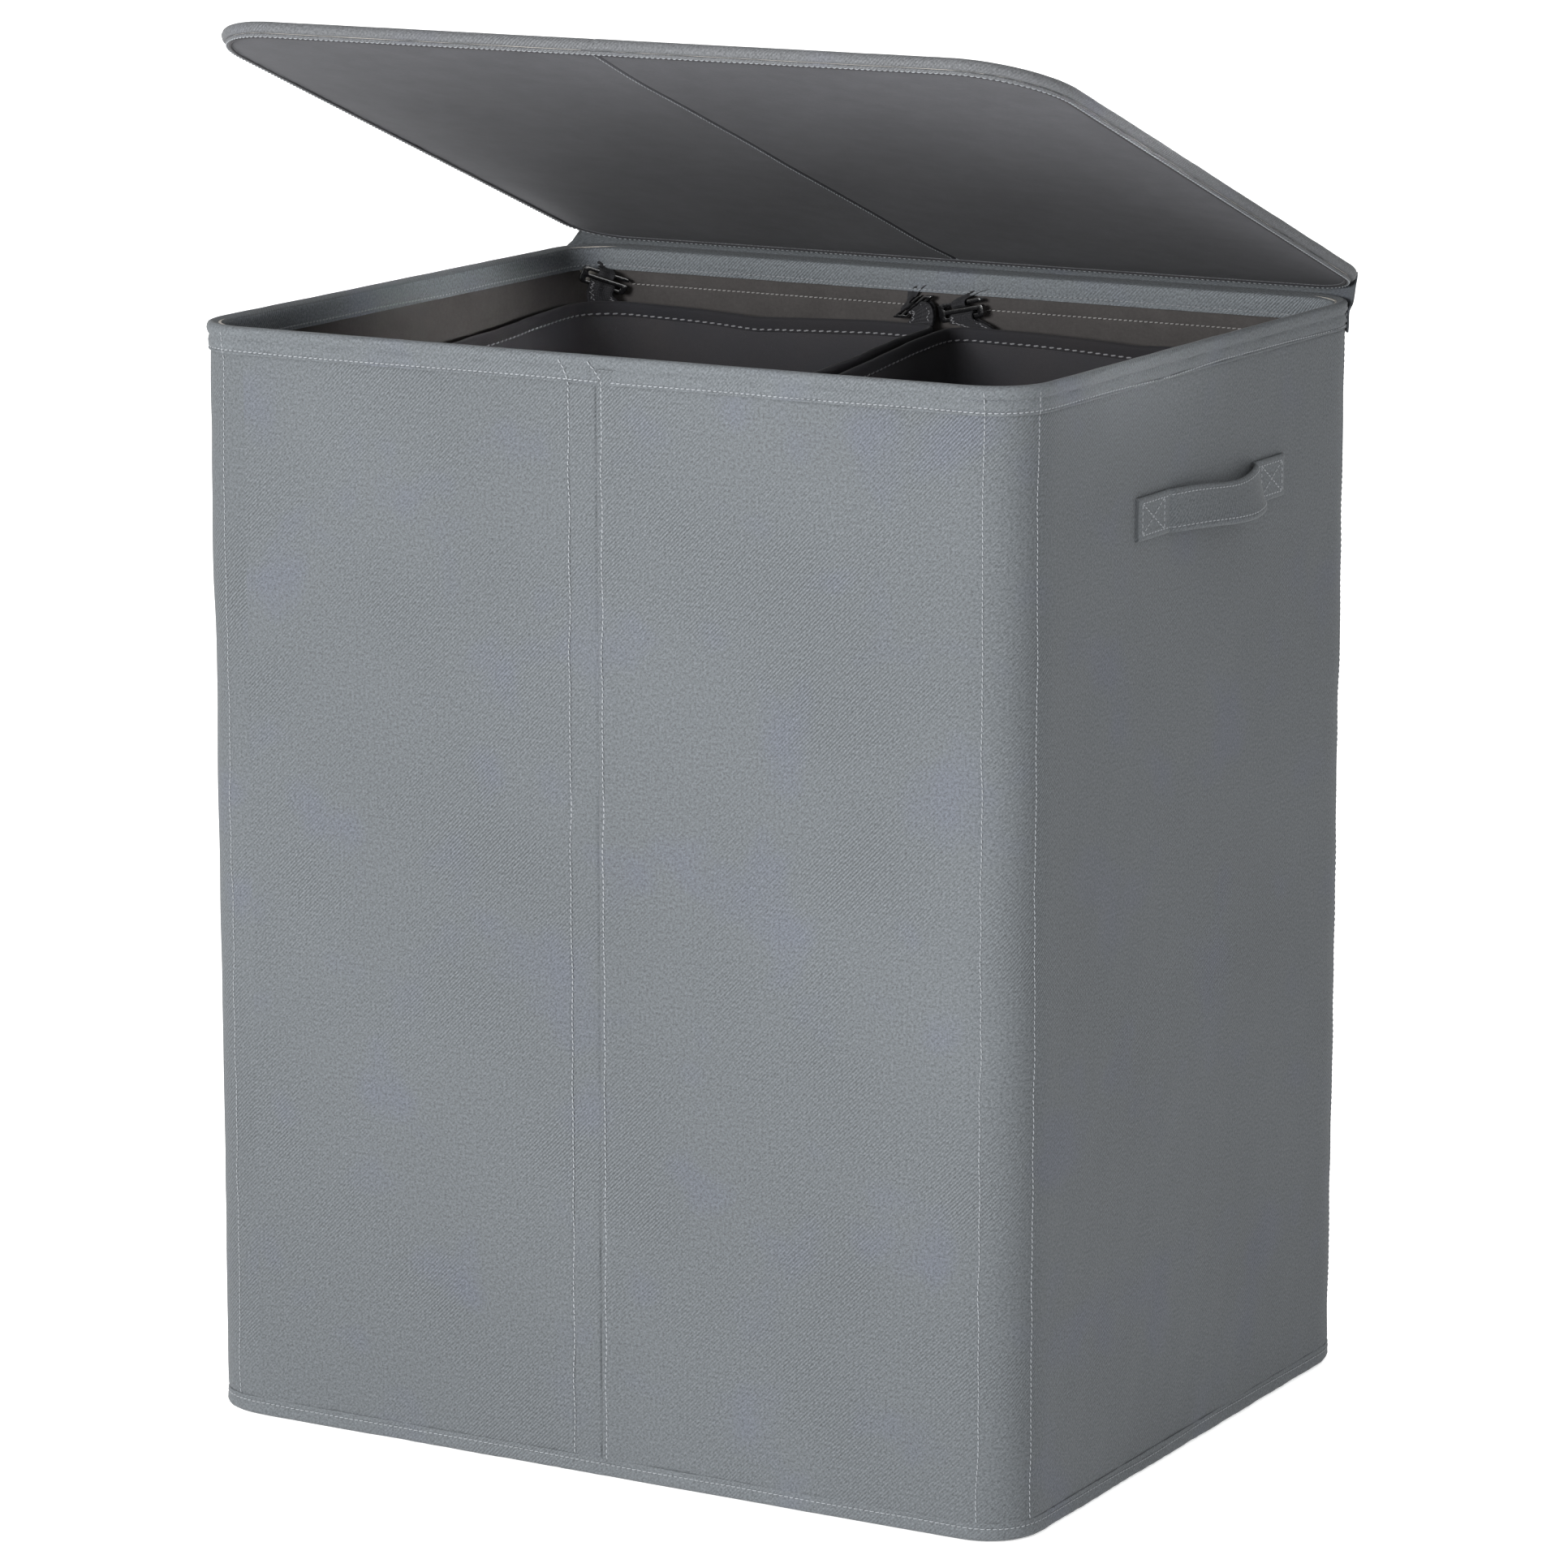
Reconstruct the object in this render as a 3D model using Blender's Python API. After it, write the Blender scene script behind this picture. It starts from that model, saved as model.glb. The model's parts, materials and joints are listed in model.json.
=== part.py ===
"""Double laundry hamper with a hinged lid: a fabric-covered box stiffened by boards, with two hanging
liner bags inside. Origin at the centre of the underside, +Z up, front towards -Y, sizes in metres."""

import math

import bmesh
import bpy
from mathutils import Matrix, Vector

# ---- driving dimensions ---------------------------------------------------------------------------
WIDTH = 0.532
DEPTH = 0.432
HEIGHT = 0.640
CORNER_RADIUS = 0.038
CORNER_STEPS = 8

GAP = 0.0003
CLOTH = 0.0012
BOARD = 0.0027
FOLD_STRIP_WIDTH = 0.018
BOARD_CLEARANCE = 0.001

RIM_OUTSIDE_LEG = 0.013
RIM_INSIDE_LEG = 0.011
FOOT_LEG = 0.008
BASE_FABRIC = 0.0015
BASE_BOARD = 0.004

LID_LENGTH = 0.462
LID_OVERHANG = 0.0035
LID_THICKNESS = 0.008
LID_FRONT_RADIUS = 0.055
LID_REAR_RADIUS = 0.035
LID_EDGE = 0.003
LID_SKIN = 0.0015
LID_REST_ANGLE = math.radians(20.6)
HINGE_BEHIND_WALL = 0.008
HINGE_ABOVE_RIM = 0.005
HINGE_TAPE_WIDTH = 0.450
HINGE_TAPE_HEIGHT = 0.018

LINER_TOP = 0.606
LINER_BOTTOM = 0.012
LINER_WALL_GAP = 0.0165
LINER_HALF_GAP = 0.003
LINER_OUTER_RADIUS = 0.030
LINER_INNER_RADIUS = 0.015
LINER_CLOTH = 0.0015
LINER_HEM_HEIGHT = 0.022
LINER_HEM = 0.0017

WEBBING = 0.001
WEBBING_WIDTH = 0.020
CLIP_WIDTH = 0.030
CLIP_HEIGHT = 0.012
CLIP_THICKNESS = 0.0035
CLIP_BAR = 0.0025
CLIP_SLOT = 0.0022
CLIP_SLOT_WIDTH = 0.0225
CLIP_CORNER = 0.0022
CLIP_ABOVE_LINER = 0.012
CORNER_CLIP_ANGLE = math.radians(53.0)
CORNER_LOOP_BEHIND = 0.0072
CENTRE_LOOP_BEHIND = 0.0060
CENTRE_CLIP_X = 0.0215
STRAP_SEWN_LENGTH = 0.019
WEBBING_PLAY = 0.0008

HANDLE_TOP = 0.5625
HANDLE_STRAP_HEIGHT = 0.0245
HANDLE_CENTRE_Y = 0.012
HANDLE_SPAN = 0.110
HANDLE_PATCH_LENGTH = 0.038
HANDLE_PATCH = 0.002
HANDLE_STRAP = 0.0025
HANDLE_BOW = 0.012
HANDLE_STEPS = 16
SMOOTH_BELOW = math.radians(35.0)

# ---- layers of the wall, each an inset from the outer face ----------------------------------------
COVER_INSET = 0.0
BOARD_INSET = CLOTH + GAP
LINING_INSET = BOARD_INSET + BOARD + GAP
RIM_INSIDE_INSET = LINING_INSET + CLOTH + GAP
WALL = RIM_INSIDE_INSET + CLOTH

# ---- finishes: colour, roughness ------------------------------------------------------------------
FINISHES = {
    "outer_fabric": ((0.215, 0.250, 0.270), 0.85),
    "lining_fabric": ((0.060, 0.056, 0.055), 0.90),
    "lid_binding": ((0.300, 0.320, 0.350), 0.80),
    "liner_fabric": ((0.028, 0.028, 0.031), 0.85),
    "webbing": ((0.018, 0.018, 0.020), 0.75),
    "clip_plastic": ((0.005, 0.005, 0.005), 0.18),
    "board_plastic": ((0.350, 0.340, 0.320), 0.60),
}


def clear_scene():
    for item in list(bpy.data.objects):
        bpy.data.objects.remove(item, do_unlink=True)


def finish_material(piece, finish):
    colour, roughness = FINISHES[finish]
    material = bpy.data.materials.new(f"{piece}_{finish}")
    material.use_nodes = True
    shader = material.node_tree.nodes["Principled BSDF"]
    shader.inputs["Base Color"].default_value = (*colour, 1.0)
    shader.inputs["Roughness"].default_value = roughness
    shader.inputs["Metallic"].default_value = 0.0
    return material


def add_object(name, mesh_builder, finish, parent=None, placement=None):
    """Turns the closed bmesh into one named object, with its own material and an optional parent."""
    bmesh.ops.recalc_face_normals(mesh_builder, faces=mesh_builder.faces)
    mesh = bpy.data.meshes.new(name)
    mesh_builder.to_mesh(mesh)
    mesh_builder.free()
    mesh.shade_smooth()
    mesh.set_sharp_from_angle(angle=SMOOTH_BELOW)
    mesh.materials.append(finish_material(name, finish))
    item = bpy.data.objects.new(name, mesh)
    bpy.context.scene.collection.objects.link(item)
    if placement is not None:
        item.matrix_world = placement
    if parent is not None:
        item.parent = parent
    return item


def add_axis(name, location, rotation=(0.0, 0.0, 0.0)):
    axis = bpy.data.objects.new(name, None)
    axis.empty_display_size = 0.05
    axis.location = location
    axis.rotation_euler = rotation
    bpy.context.scene.collection.objects.link(axis)
    return axis


# ---- outlines and solids --------------------------------------------------------------------------
def arc(centre, radius, start, end, steps):
    points = []
    for step in range(steps + 1):
        angle = start + (end - start) * step / steps
        points.append((centre[0] + radius * math.cos(angle), centre[1] + radius * math.sin(angle)))
    return points


def rounded_outline(low, high, radii, steps=CORNER_STEPS):
    """Counterclockwise rectangle. The corner radii are front right, rear right, rear left, front left."""
    signs = ((1, -1), (1, 1), (-1, 1), (-1, -1))
    points = []
    for index, (side, end) in enumerate(signs):
        radius = radii[index]
        x = (high[0] - radius) if side > 0 else (low[0] + radius)
        y = (high[1] - radius) if end > 0 else (low[1] + radius)
        start = (index - 1) * math.pi / 2
        points.extend(arc((x, y), radius, start, start + math.pi / 2, steps) if radius else [(x, y)])
    return points


def body_outline(inset):
    x = WIDTH / 2 - inset
    y = DEPTH / 2 - inset
    return rounded_outline((-x, -y), (x, y), (CORNER_RADIUS - inset,) * 4)


def prism(outline, bottom, top):
    """A closed solid: the outline extruded from the bottom height to the top height."""
    builder = bmesh.new()
    low = [builder.verts.new((x, y, bottom)) for x, y in outline]
    face = builder.faces.new(low)
    raised = bmesh.ops.extrude_face_region(builder, geom=[face])
    moved = [item for item in raised["geom"] if isinstance(item, bmesh.types.BMVert)]
    bmesh.ops.translate(builder, verts=moved, vec=(0, 0, top - bottom))
    return builder


def block(low, high):
    outline = [(low[0], low[1]), (high[0], low[1]), (high[0], high[1]), (low[0], high[1])]
    return prism(outline, low[2], high[2])


def loft_rings(rings, closed_section):
    """Faces between rings of equal length. A closed section makes a hoop, an open one is capped at both ends."""
    builder = bmesh.new()
    rows = [[builder.verts.new(point) for point in ring] for ring in rings]
    count = len(rows[0])
    pairs = list(zip(rows, rows[1:]))
    if closed_section:
        pairs.append((rows[-1], rows[0]))
    for first, second in pairs:
        for index in range(count):
            after = (index + 1) % count
            builder.faces.new((first[index], first[after], second[after], second[index]))
    if not closed_section:
        builder.faces.new(rows[0])
        builder.faces.new(rows[-1])
    return builder


def hoop(section, outline_at):
    """A band all round the box. The section lists (inset, height) pairs round its outline."""
    rings = [[(x, y, height) for x, y in outline_at(inset)] for inset, height in section]
    return loft_rings(rings, closed_section=True)


def rectangle_section(inset, thickness, bottom, top):
    return [(inset, bottom), (inset + thickness, bottom), (inset + thickness, top), (inset, top)]


def thick_path(path, thickness):
    """Outline of a strip of the given thickness whose middle follows the path."""
    left, right = [], []
    for index, point in enumerate(path):
        before = Vector(path[max(index - 1, 0)])
        after = Vector(path[min(index + 1, len(path) - 1)])
        here = Vector(point)
        directions = [d.normalized() for d in (here - before, after - here) if d.length > 0]
        along = sum(directions, Vector((0.0, 0.0))).normalized()
        across = Vector((-along.y, along.x))
        widen = 1.0 / max(abs(across.dot(Vector((-directions[0].y, directions[0].x)))), 0.5)
        left.append(tuple(here + across * thickness * widen / 2))
        right.append(tuple(here - across * thickness * widen / 2))
    return left + right[::-1]


def upright(outline, width):
    """The (outward, up) outline extruded sideways and centred, in a frame of X sideways, Y outward, Z up."""
    builder = prism(outline, -width / 2, width / 2)
    turn = Matrix(((0, 0, 1, 0), (1, 0, 0, 0), (0, 1, 0, 0), (0, 0, 0, 1)))
    bmesh.ops.transform(builder, matrix=turn, verts=builder.verts)
    return builder


# ---- body -----------------------------------------------------------------------------------------
def build_base():
    add_object("base_fabric", prism(body_outline(0.0), 0.0, BASE_FABRIC), "outer_fabric")
    bottom = BASE_FABRIC + GAP
    outline = body_outline(LINING_INSET + CLOTH + 2 * GAP)
    add_object("base_board", prism(outline, bottom, bottom + BASE_BOARD), "lining_fabric")


def build_wall_boards():
    bottom = BASE_FABRIC + GAP
    top = HEIGHT - CLOTH - GAP
    flat_x = WIDTH / 2 - CORNER_RADIUS - BOARD_CLEARANCE / 2
    flat_y = DEPTH / 2 - CORNER_RADIUS - BOARD_CLEARANCE / 2
    fold = FOLD_STRIP_WIDTH / 2
    for face, side in (("front", -1), ("rear", 1)):
        outside = side * (DEPTH / 2 - BOARD_INSET)
        inside = side * (DEPTH / 2 - BOARD_INSET - BOARD)
        low_y, high_y = sorted((outside, inside))
        spans = (
            (f"{face}_board_left", -flat_x, -fold - BOARD_CLEARANCE),
            (f"{face}_board_right", fold + BOARD_CLEARANCE, flat_x),
            (f"{face}_fold_strip", -fold, fold),
        )
        for name, low_x, high_x in spans:
            finish = "webbing" if name.endswith("strip") else "board_plastic"
            add_object(name, block((low_x, low_y, bottom), (high_x, high_y, top)), finish)
    for face, side in (("left", -1), ("right", 1)):
        outside = side * (WIDTH / 2 - BOARD_INSET)
        inside = side * (WIDTH / 2 - BOARD_INSET - BOARD)
        low_x, high_x = sorted((outside, inside))
        solid = block((low_x, -flat_y, bottom), (high_x, flat_y, top))
        add_object(f"{face}_board", solid, "board_plastic")


def build_corner_stays():
    """Curved stiffeners that keep the four upright corners round."""
    bottom = BASE_FABRIC + GAP
    top = HEIGHT - CLOTH - GAP
    outer = CORNER_RADIUS - BOARD_INSET
    margin = BOARD_CLEARANCE / 2 / outer
    corners = (
        ("front_right", 1, -1, -math.pi / 2),
        ("rear_right", 1, 1, 0.0),
        ("rear_left", -1, 1, math.pi / 2),
        ("front_left", -1, -1, math.pi),
    )
    for name, side, end, start in corners:
        centre = (side * (WIDTH / 2 - CORNER_RADIUS), end * (DEPTH / 2 - CORNER_RADIUS))
        first = start + margin
        last = start + math.pi / 2 - margin
        outline = arc(centre, outer, first, last, CORNER_STEPS)
        outline += arc(centre, outer - BOARD, last, first, CORNER_STEPS)
        add_object(f"corner_stay_{name}", prism(outline, bottom, top), "board_plastic")


def build_skins():
    foot = BASE_FABRIC + GAP
    cover_section = rectangle_section(
        COVER_INSET, CLOTH, foot + FOOT_LEG + GAP, HEIGHT - RIM_OUTSIDE_LEG - GAP
    )
    add_object("outer_cover", hoop(cover_section, body_outline), "outer_fabric")
    lining_section = rectangle_section(LINING_INSET, CLOTH, foot, HEIGHT - CLOTH - GAP)
    add_object("lining", hoop(lining_section, body_outline), "lining_fabric")
    foot_section = rectangle_section(COVER_INSET, CLOTH, foot, foot + FOOT_LEG)
    add_object("bottom_binding", hoop(foot_section, body_outline), "outer_fabric")
    rim_section = [
        (COVER_INSET, HEIGHT - RIM_OUTSIDE_LEG),
        (COVER_INSET + CLOTH, HEIGHT - RIM_OUTSIDE_LEG),
        (COVER_INSET + CLOTH, HEIGHT - CLOTH),
        (RIM_INSIDE_INSET, HEIGHT - CLOTH),
        (RIM_INSIDE_INSET, HEIGHT - RIM_INSIDE_LEG),
        (WALL, HEIGHT - RIM_INSIDE_LEG),
        (WALL, HEIGHT),
        (COVER_INSET, HEIGHT),
    ]
    add_object("top_binding", hoop(rim_section, body_outline), "outer_fabric")


# ---- lid ------------------------------------------------------------------------------------------
def lid_outline(inset):
    x = WIDTH / 2 + LID_OVERHANG - inset
    front = LID_FRONT_RADIUS - inset
    rear = LID_REAR_RADIUS - inset
    return rounded_outline((-x, -LID_LENGTH + inset), (x, -inset), (front, rear, rear, front))


def build_lid():
    """The lid's own frame has its origin on the hinge axis and its free edge towards -Y, lying flat."""
    place = (0.0, DEPTH / 2 + HINGE_BEHIND_WALL, HEIGHT + HINGE_ABOVE_RIM)
    axis = add_axis("lid_axis", place, (-LID_REST_ANGLE, 0.0, 0.0))
    half = LID_THICKNESS / 2
    edge = rectangle_section(0.0, LID_EDGE, -half, half)
    add_object("lid_edge_binding", hoop(edge, lid_outline), "lid_binding", axis)
    skin_outline = lid_outline(LID_EDGE + GAP)
    add_object("lid_cover", prism(skin_outline, half - LID_SKIN, half), "outer_fabric", axis)
    add_object("lid_lining", prism(skin_outline, -half, -half + LID_SKIN), "lining_fabric", axis)
    core = half - LID_SKIN - GAP
    fold = FOLD_STRIP_WIDTH / 2
    left = fold + BOARD_CLEARANCE
    for side, name in ((-1, "left"), (1, "right")):
        outline = half_lid_outline(LID_EDGE + 2 * GAP, side, left)
        add_object(f"lid_board_{name}", prism(outline, -core, core), "board_plastic", axis)
    front = -LID_LENGTH + LID_EDGE + 2 * GAP
    rear = -LID_EDGE - 2 * GAP
    strip = block((-fold, front, -core), (fold, rear, core))
    add_object("lid_fold_strip", strip, "webbing", axis)
    tape = block((-HINGE_TAPE_WIDTH / 2, GAP, -half), (HINGE_TAPE_WIDTH / 2, GAP + CLOTH, half))
    add_object("lid_hinge_tape", tape, "outer_fabric", axis)


def half_lid_outline(inset, side, centre_gap):
    x = WIDTH / 2 + LID_OVERHANG - inset
    front = LID_FRONT_RADIUS - inset
    rear = LID_REAR_RADIUS - inset
    low = (centre_gap, -LID_LENGTH + inset)
    high = (x, -inset)
    outline = rounded_outline(low, high, (front, rear, 0, 0))
    return outline if side > 0 else [(-px, py) for px, py in reversed(outline)]


def build_wall_hinge_tape():
    low = (-HINGE_TAPE_WIDTH / 2, DEPTH / 2 + GAP, HEIGHT - HINGE_TAPE_HEIGHT)
    high = (HINGE_TAPE_WIDTH / 2, DEPTH / 2 + GAP + CLOTH, HEIGHT - BOARD_CLEARANCE)
    add_object("wall_hinge_tape", block(low, high), "outer_fabric")


# ---- liners ---------------------------------------------------------------------------------------
def liner_outline(side, outset):
    """Plan of one bag: wide corner radii towards the box's corners and tight ones at the middle."""
    low_x = LINER_HALF_GAP - outset
    high_x = WIDTH / 2 - LINER_WALL_GAP + outset
    y = DEPTH / 2 - LINER_WALL_GAP + outset
    outer = LINER_OUTER_RADIUS + outset
    inner = LINER_INNER_RADIUS + outset
    outline = rounded_outline((low_x, -y), (high_x, y), (outer, outer, inner, inner))
    return outline if side > 0 else [(-px, py) for px, py in reversed(outline)]


def liner_tub(side):
    def ring(outset, height):
        return [(x, y, height) for x, y in liner_outline(side, outset)]

    rings = (
        ring(0.0, LINER_BOTTOM),
        ring(0.0, LINER_TOP),
        ring(-LINER_CLOTH, LINER_TOP),
        ring(-LINER_CLOTH, LINER_BOTTOM + LINER_CLOTH),
    )
    return loft_rings(rings, closed_section=False)


def liner_hem(side):
    section = [
        (GAP, LINER_TOP - LINER_HEM_HEIGHT),
        (GAP + LINER_HEM, LINER_TOP - LINER_HEM_HEIGHT),
        (GAP + LINER_HEM, LINER_TOP),
        (GAP, LINER_TOP),
    ]
    return hoop(section, lambda outset: liner_outline(side, outset))


def clip_spots():
    """Where each clip hangs: name, bag side, point on the hem's outer face, outward direction, and how far
    behind that face its loop hangs."""
    hem = GAP + LINER_HEM
    outer_x = WIDTH / 2 - LINER_WALL_GAP - LINER_OUTER_RADIUS
    outer_y = DEPTH / 2 - LINER_WALL_GAP - LINER_OUTER_RADIUS
    radius = LINER_OUTER_RADIUS + hem
    spots = []
    for bag, side in (("left", -1), ("right", 1)):
        for face, end in (("front", -1), ("rear", 1)):
            outward = Vector((side * math.cos(CORNER_CLIP_ANGLE), end * math.sin(CORNER_CLIP_ANGLE), 0))
            point = Vector((side * outer_x, end * outer_y, 0)) + outward * radius
            spots.append((f"{bag}_{face}_outer", side, point, outward, CORNER_LOOP_BEHIND))
            point = Vector((side * CENTRE_CLIP_X, end * (DEPTH / 2 - LINER_WALL_GAP + hem), 0))
            spots.append((f"{bag}_{face}_centre", side, point, Vector((0, end, 0)), CENTRE_LOOP_BEHIND))
    return spots


def spot_matrix(point, outward):
    """Frame at a clip: X sideways, Y outward to the wall, Z up, with its origin at the top of the hem."""
    up = Vector((0, 0, 1))
    sideways = outward.cross(up)
    return Matrix(
        (
            (sideways.x, outward.x, 0, point.x),
            (sideways.y, outward.y, 0, point.y),
            (0, 0, 1, LINER_TOP),
            (0, 0, 0, 1),
        )
    )


def clip_solid():
    """Flat hook: a slot for the liner's strap below, and above it a slot open at one end for the loop."""
    half = CLIP_WIDTH / 2
    low = CLIP_ABOVE_LINER
    high = low + CLIP_HEIGHT
    slot = CLIP_SLOT_WIDTH / 2
    upper_high = high - CLIP_BAR
    upper_low = upper_high - CLIP_SLOT
    outline = arc((-half + CLIP_CORNER, low + CLIP_CORNER), CLIP_CORNER, math.pi, 1.5 * math.pi, 4)
    outline += arc((half - CLIP_CORNER, low + CLIP_CORNER), CLIP_CORNER, -math.pi / 2, 0, 4)
    outline += [(half, upper_low - CLIP_SLOT / 2), (half - CLIP_SLOT / 2, upper_low), (-slot, upper_low)]
    outline += [(-slot, upper_high), (half - CLIP_CORNER, upper_high)]
    outline += arc((half - CLIP_CORNER, high - CLIP_BAR / 2), CLIP_BAR / 2, -math.pi / 4, math.pi / 2, 4)
    outline += arc((-half + CLIP_CORNER, high - CLIP_CORNER), CLIP_CORNER, math.pi / 2, math.pi, 4)
    slot_low = low + CLIP_BAR
    slot_high = slot_low + CLIP_SLOT
    hole = [(-slot, slot_low), (slot, slot_low), (slot, slot_high), (-slot, slot_high)]
    builder = bmesh.new()
    edges = []
    for points in (outline, hole):
        ring = [builder.verts.new((x, 0, z)) for x, z in points]
        for index, vertex in enumerate(ring):
            edges.append(builder.edges.new((vertex, ring[(index + 1) % len(ring)])))
    filled = bmesh.ops.triangle_fill(builder, use_beauty=True, use_dissolve=False, edges=edges)
    faces = [item for item in filled["geom"] if isinstance(item, bmesh.types.BMFace)]
    raised = bmesh.ops.extrude_face_region(builder, geom=faces)
    moved = [item for item in raised["geom"] if isinstance(item, bmesh.types.BMVert)]
    bmesh.ops.translate(builder, verts=moved, vec=(0, CLIP_THICKNESS, 0))
    return builder


def strap_solid():
    """Webbing sewn to the hem, up behind the clip's lower bar, through its slot and down in front."""
    sewn = GAP + WEBBING / 2
    behind = CLIP_THICKNESS + WEBBING_PLAY
    front = -WEBBING_PLAY
    through = CLIP_ABOVE_LINER + CLIP_BAR + CLIP_SLOT / 2
    path = [
        (sewn, -STRAP_SEWN_LENGTH),
        (sewn, 2 * WEBBING),
        (behind, CLIP_ABOVE_LINER - 3 * WEBBING),
        (behind, through),
        (front, through),
        (front, 3 * WEBBING),
    ]
    return upright(thick_path(path, WEBBING), WEBBING_WIDTH)


def loop_solid(behind):
    """Webbing hanging from the rim: down behind the clip's upper bar, through it and up in front. It is
    long enough for the clip to rise a little inside it."""
    front = -WEBBING_PLAY - GAP
    through = CLIP_ABOVE_LINER + CLIP_HEIGHT - CLIP_BAR - CLIP_SLOT / 2
    top = HEIGHT - LINER_TOP - WEBBING
    path = [
        (behind, top - WEBBING),
        (behind, through),
        (front, through),
        (front, top - 2.6 * WEBBING),
        (behind - 2 * WEBBING, top - GAP),
    ]
    return upright(thick_path(path, WEBBING), WEBBING_WIDTH)


def build_liners():
    axes = {}
    for name, side in (("left", -1), ("right", 1)):
        middle = side * (WIDTH / 2 - LINER_WALL_GAP + LINER_HALF_GAP) / 2
        axes[side] = add_axis(f"liner_{name}_axis", (middle, 0.0, LINER_TOP))
    bpy.context.view_layer.update()
    for name, side in (("left", -1), ("right", 1)):
        back = axes[side].matrix_world.inverted()
        for piece, solid in ((f"liner_{name}_bag", liner_tub(side)), (f"liner_{name}_hem", liner_hem(side))):
            bmesh.ops.transform(solid, matrix=back, verts=solid.verts)
            add_object(piece, solid, "liner_fabric", axes[side])
    for name, side, point, outward, behind in clip_spots():
        frame = spot_matrix(point, outward)
        back = axes[side].matrix_world.inverted()
        add_object(f"strap_{name}", strap_solid(), "webbing", axes[side], back @ frame)
        add_object(f"clip_{name}", clip_solid(), "clip_plastic", axes[side], back @ frame)
        add_object(f"loop_{name}", loop_solid(behind), "webbing", None, frame)


# ---- handles --------------------------------------------------------------------------------------
def grip_solid():
    """Strap that bows away from the wall and turns back to it at both ends. Its frame has X outward from
    the wall, Y along it and Z up, with the strap's upper edge on the hinge line."""
    half = HANDLE_SPAN / 2 - GAP
    path = [(0.0, -half)]
    for step in range(1, HANDLE_STEPS):
        share = step / HANDLE_STEPS
        path.append((HANDLE_BOW * math.sin(math.pi * share) ** 0.5, half * (2 * share - 1)))
    path.append((0.0, half))
    outline = thick_path(path, HANDLE_STRAP)
    stand_off = HANDLE_PATCH + GAP
    outline = [(max(x + stand_off, 3 * GAP), y) for x, y in outline]
    return prism(outline, -HANDLE_STRAP_HEIGHT, 0.0)


def build_handles():
    low = HANDLE_SPAN / 2
    high = low + HANDLE_PATCH_LENGTH
    for name, side in (("left", -1), ("right", 1)):
        turn = 0.0 if side > 0 else math.pi
        face = side * WIDTH / 2
        axis = add_axis(f"handle_{name}_axis", (face, HANDLE_CENTRE_Y, HANDLE_TOP), (0, 0, turn))
        add_object(f"handle_{name}_grip", grip_solid(), "outer_fabric", axis)
        for end, sign in (("front", -1), ("rear", 1)):
            y = sorted((HANDLE_CENTRE_Y + sign * low, HANDLE_CENTRE_Y + sign * high))
            x = sorted((face + side * GAP, face + side * (GAP + HANDLE_PATCH)))
            z = (HANDLE_TOP - HANDLE_STRAP_HEIGHT, HANDLE_TOP)
            solid = block((x[0], y[0], z[0]), (x[1], y[1], z[1]))
            add_object(f"handle_{name}_{end}_patch", solid, "outer_fabric")


clear_scene()
build_base()
build_wall_boards()
build_corner_stays()
build_skins()
build_wall_hinge_tape()
build_lid()
build_liners()
build_handles()
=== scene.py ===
import json
import math

import bmesh
import bpy
import numpy as np
from mathutils import Matrix, Vector


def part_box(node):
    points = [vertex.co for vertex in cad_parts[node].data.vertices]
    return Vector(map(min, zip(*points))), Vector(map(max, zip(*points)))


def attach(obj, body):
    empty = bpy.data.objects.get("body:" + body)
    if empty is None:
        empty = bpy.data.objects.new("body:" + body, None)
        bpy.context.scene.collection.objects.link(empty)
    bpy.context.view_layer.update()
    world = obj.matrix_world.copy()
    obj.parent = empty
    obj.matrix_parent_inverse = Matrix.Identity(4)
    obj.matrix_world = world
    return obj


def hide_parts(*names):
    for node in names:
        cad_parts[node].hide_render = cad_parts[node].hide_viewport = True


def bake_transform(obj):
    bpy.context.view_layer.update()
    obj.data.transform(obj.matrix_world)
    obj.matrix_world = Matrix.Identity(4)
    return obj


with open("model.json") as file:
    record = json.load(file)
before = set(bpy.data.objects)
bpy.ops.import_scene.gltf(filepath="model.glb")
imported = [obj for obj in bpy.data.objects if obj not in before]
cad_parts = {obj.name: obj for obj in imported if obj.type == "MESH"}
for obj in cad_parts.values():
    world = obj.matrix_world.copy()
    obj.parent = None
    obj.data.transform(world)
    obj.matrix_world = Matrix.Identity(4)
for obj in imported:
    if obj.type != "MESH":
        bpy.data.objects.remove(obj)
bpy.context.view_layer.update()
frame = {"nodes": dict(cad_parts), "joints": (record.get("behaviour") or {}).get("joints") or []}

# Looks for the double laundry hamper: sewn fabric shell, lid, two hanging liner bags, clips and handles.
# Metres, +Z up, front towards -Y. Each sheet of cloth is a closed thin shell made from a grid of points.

TAU = 2 * math.pi

# ---- places taken from the frame ------------------------------------------------------------------
WALL_X, WALL_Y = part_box("outer_cover")[1].xy
COVER_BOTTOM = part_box("outer_cover")[0].z
RIM_BOTTOM, RIM_TOP = (corner.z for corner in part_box("top_binding"))
RIM_EDGE = RIM_TOP - 0.0004
LINING_INSET = WALL_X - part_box("lining")[1].x
LINING_BOTTOM, LINING_TOP = (corner.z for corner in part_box("lining"))
LINER_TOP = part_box("liner_right_hem")[1].z
LINER_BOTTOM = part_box("liner_right_bag")[0].z
HINGE = {joint["name"]: joint for joint in frame["joints"]}["lid_hinge"]
LID_FRAME = Matrix.Translation(HINGE["pos_m"]) @ Matrix.Rotation(math.radians(HINGE["range_deg"][0]), 4, "X")
SIDES = (("left", -1), ("right", 1))
ENDS = (("front", -1), ("rear", 1))

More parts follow.
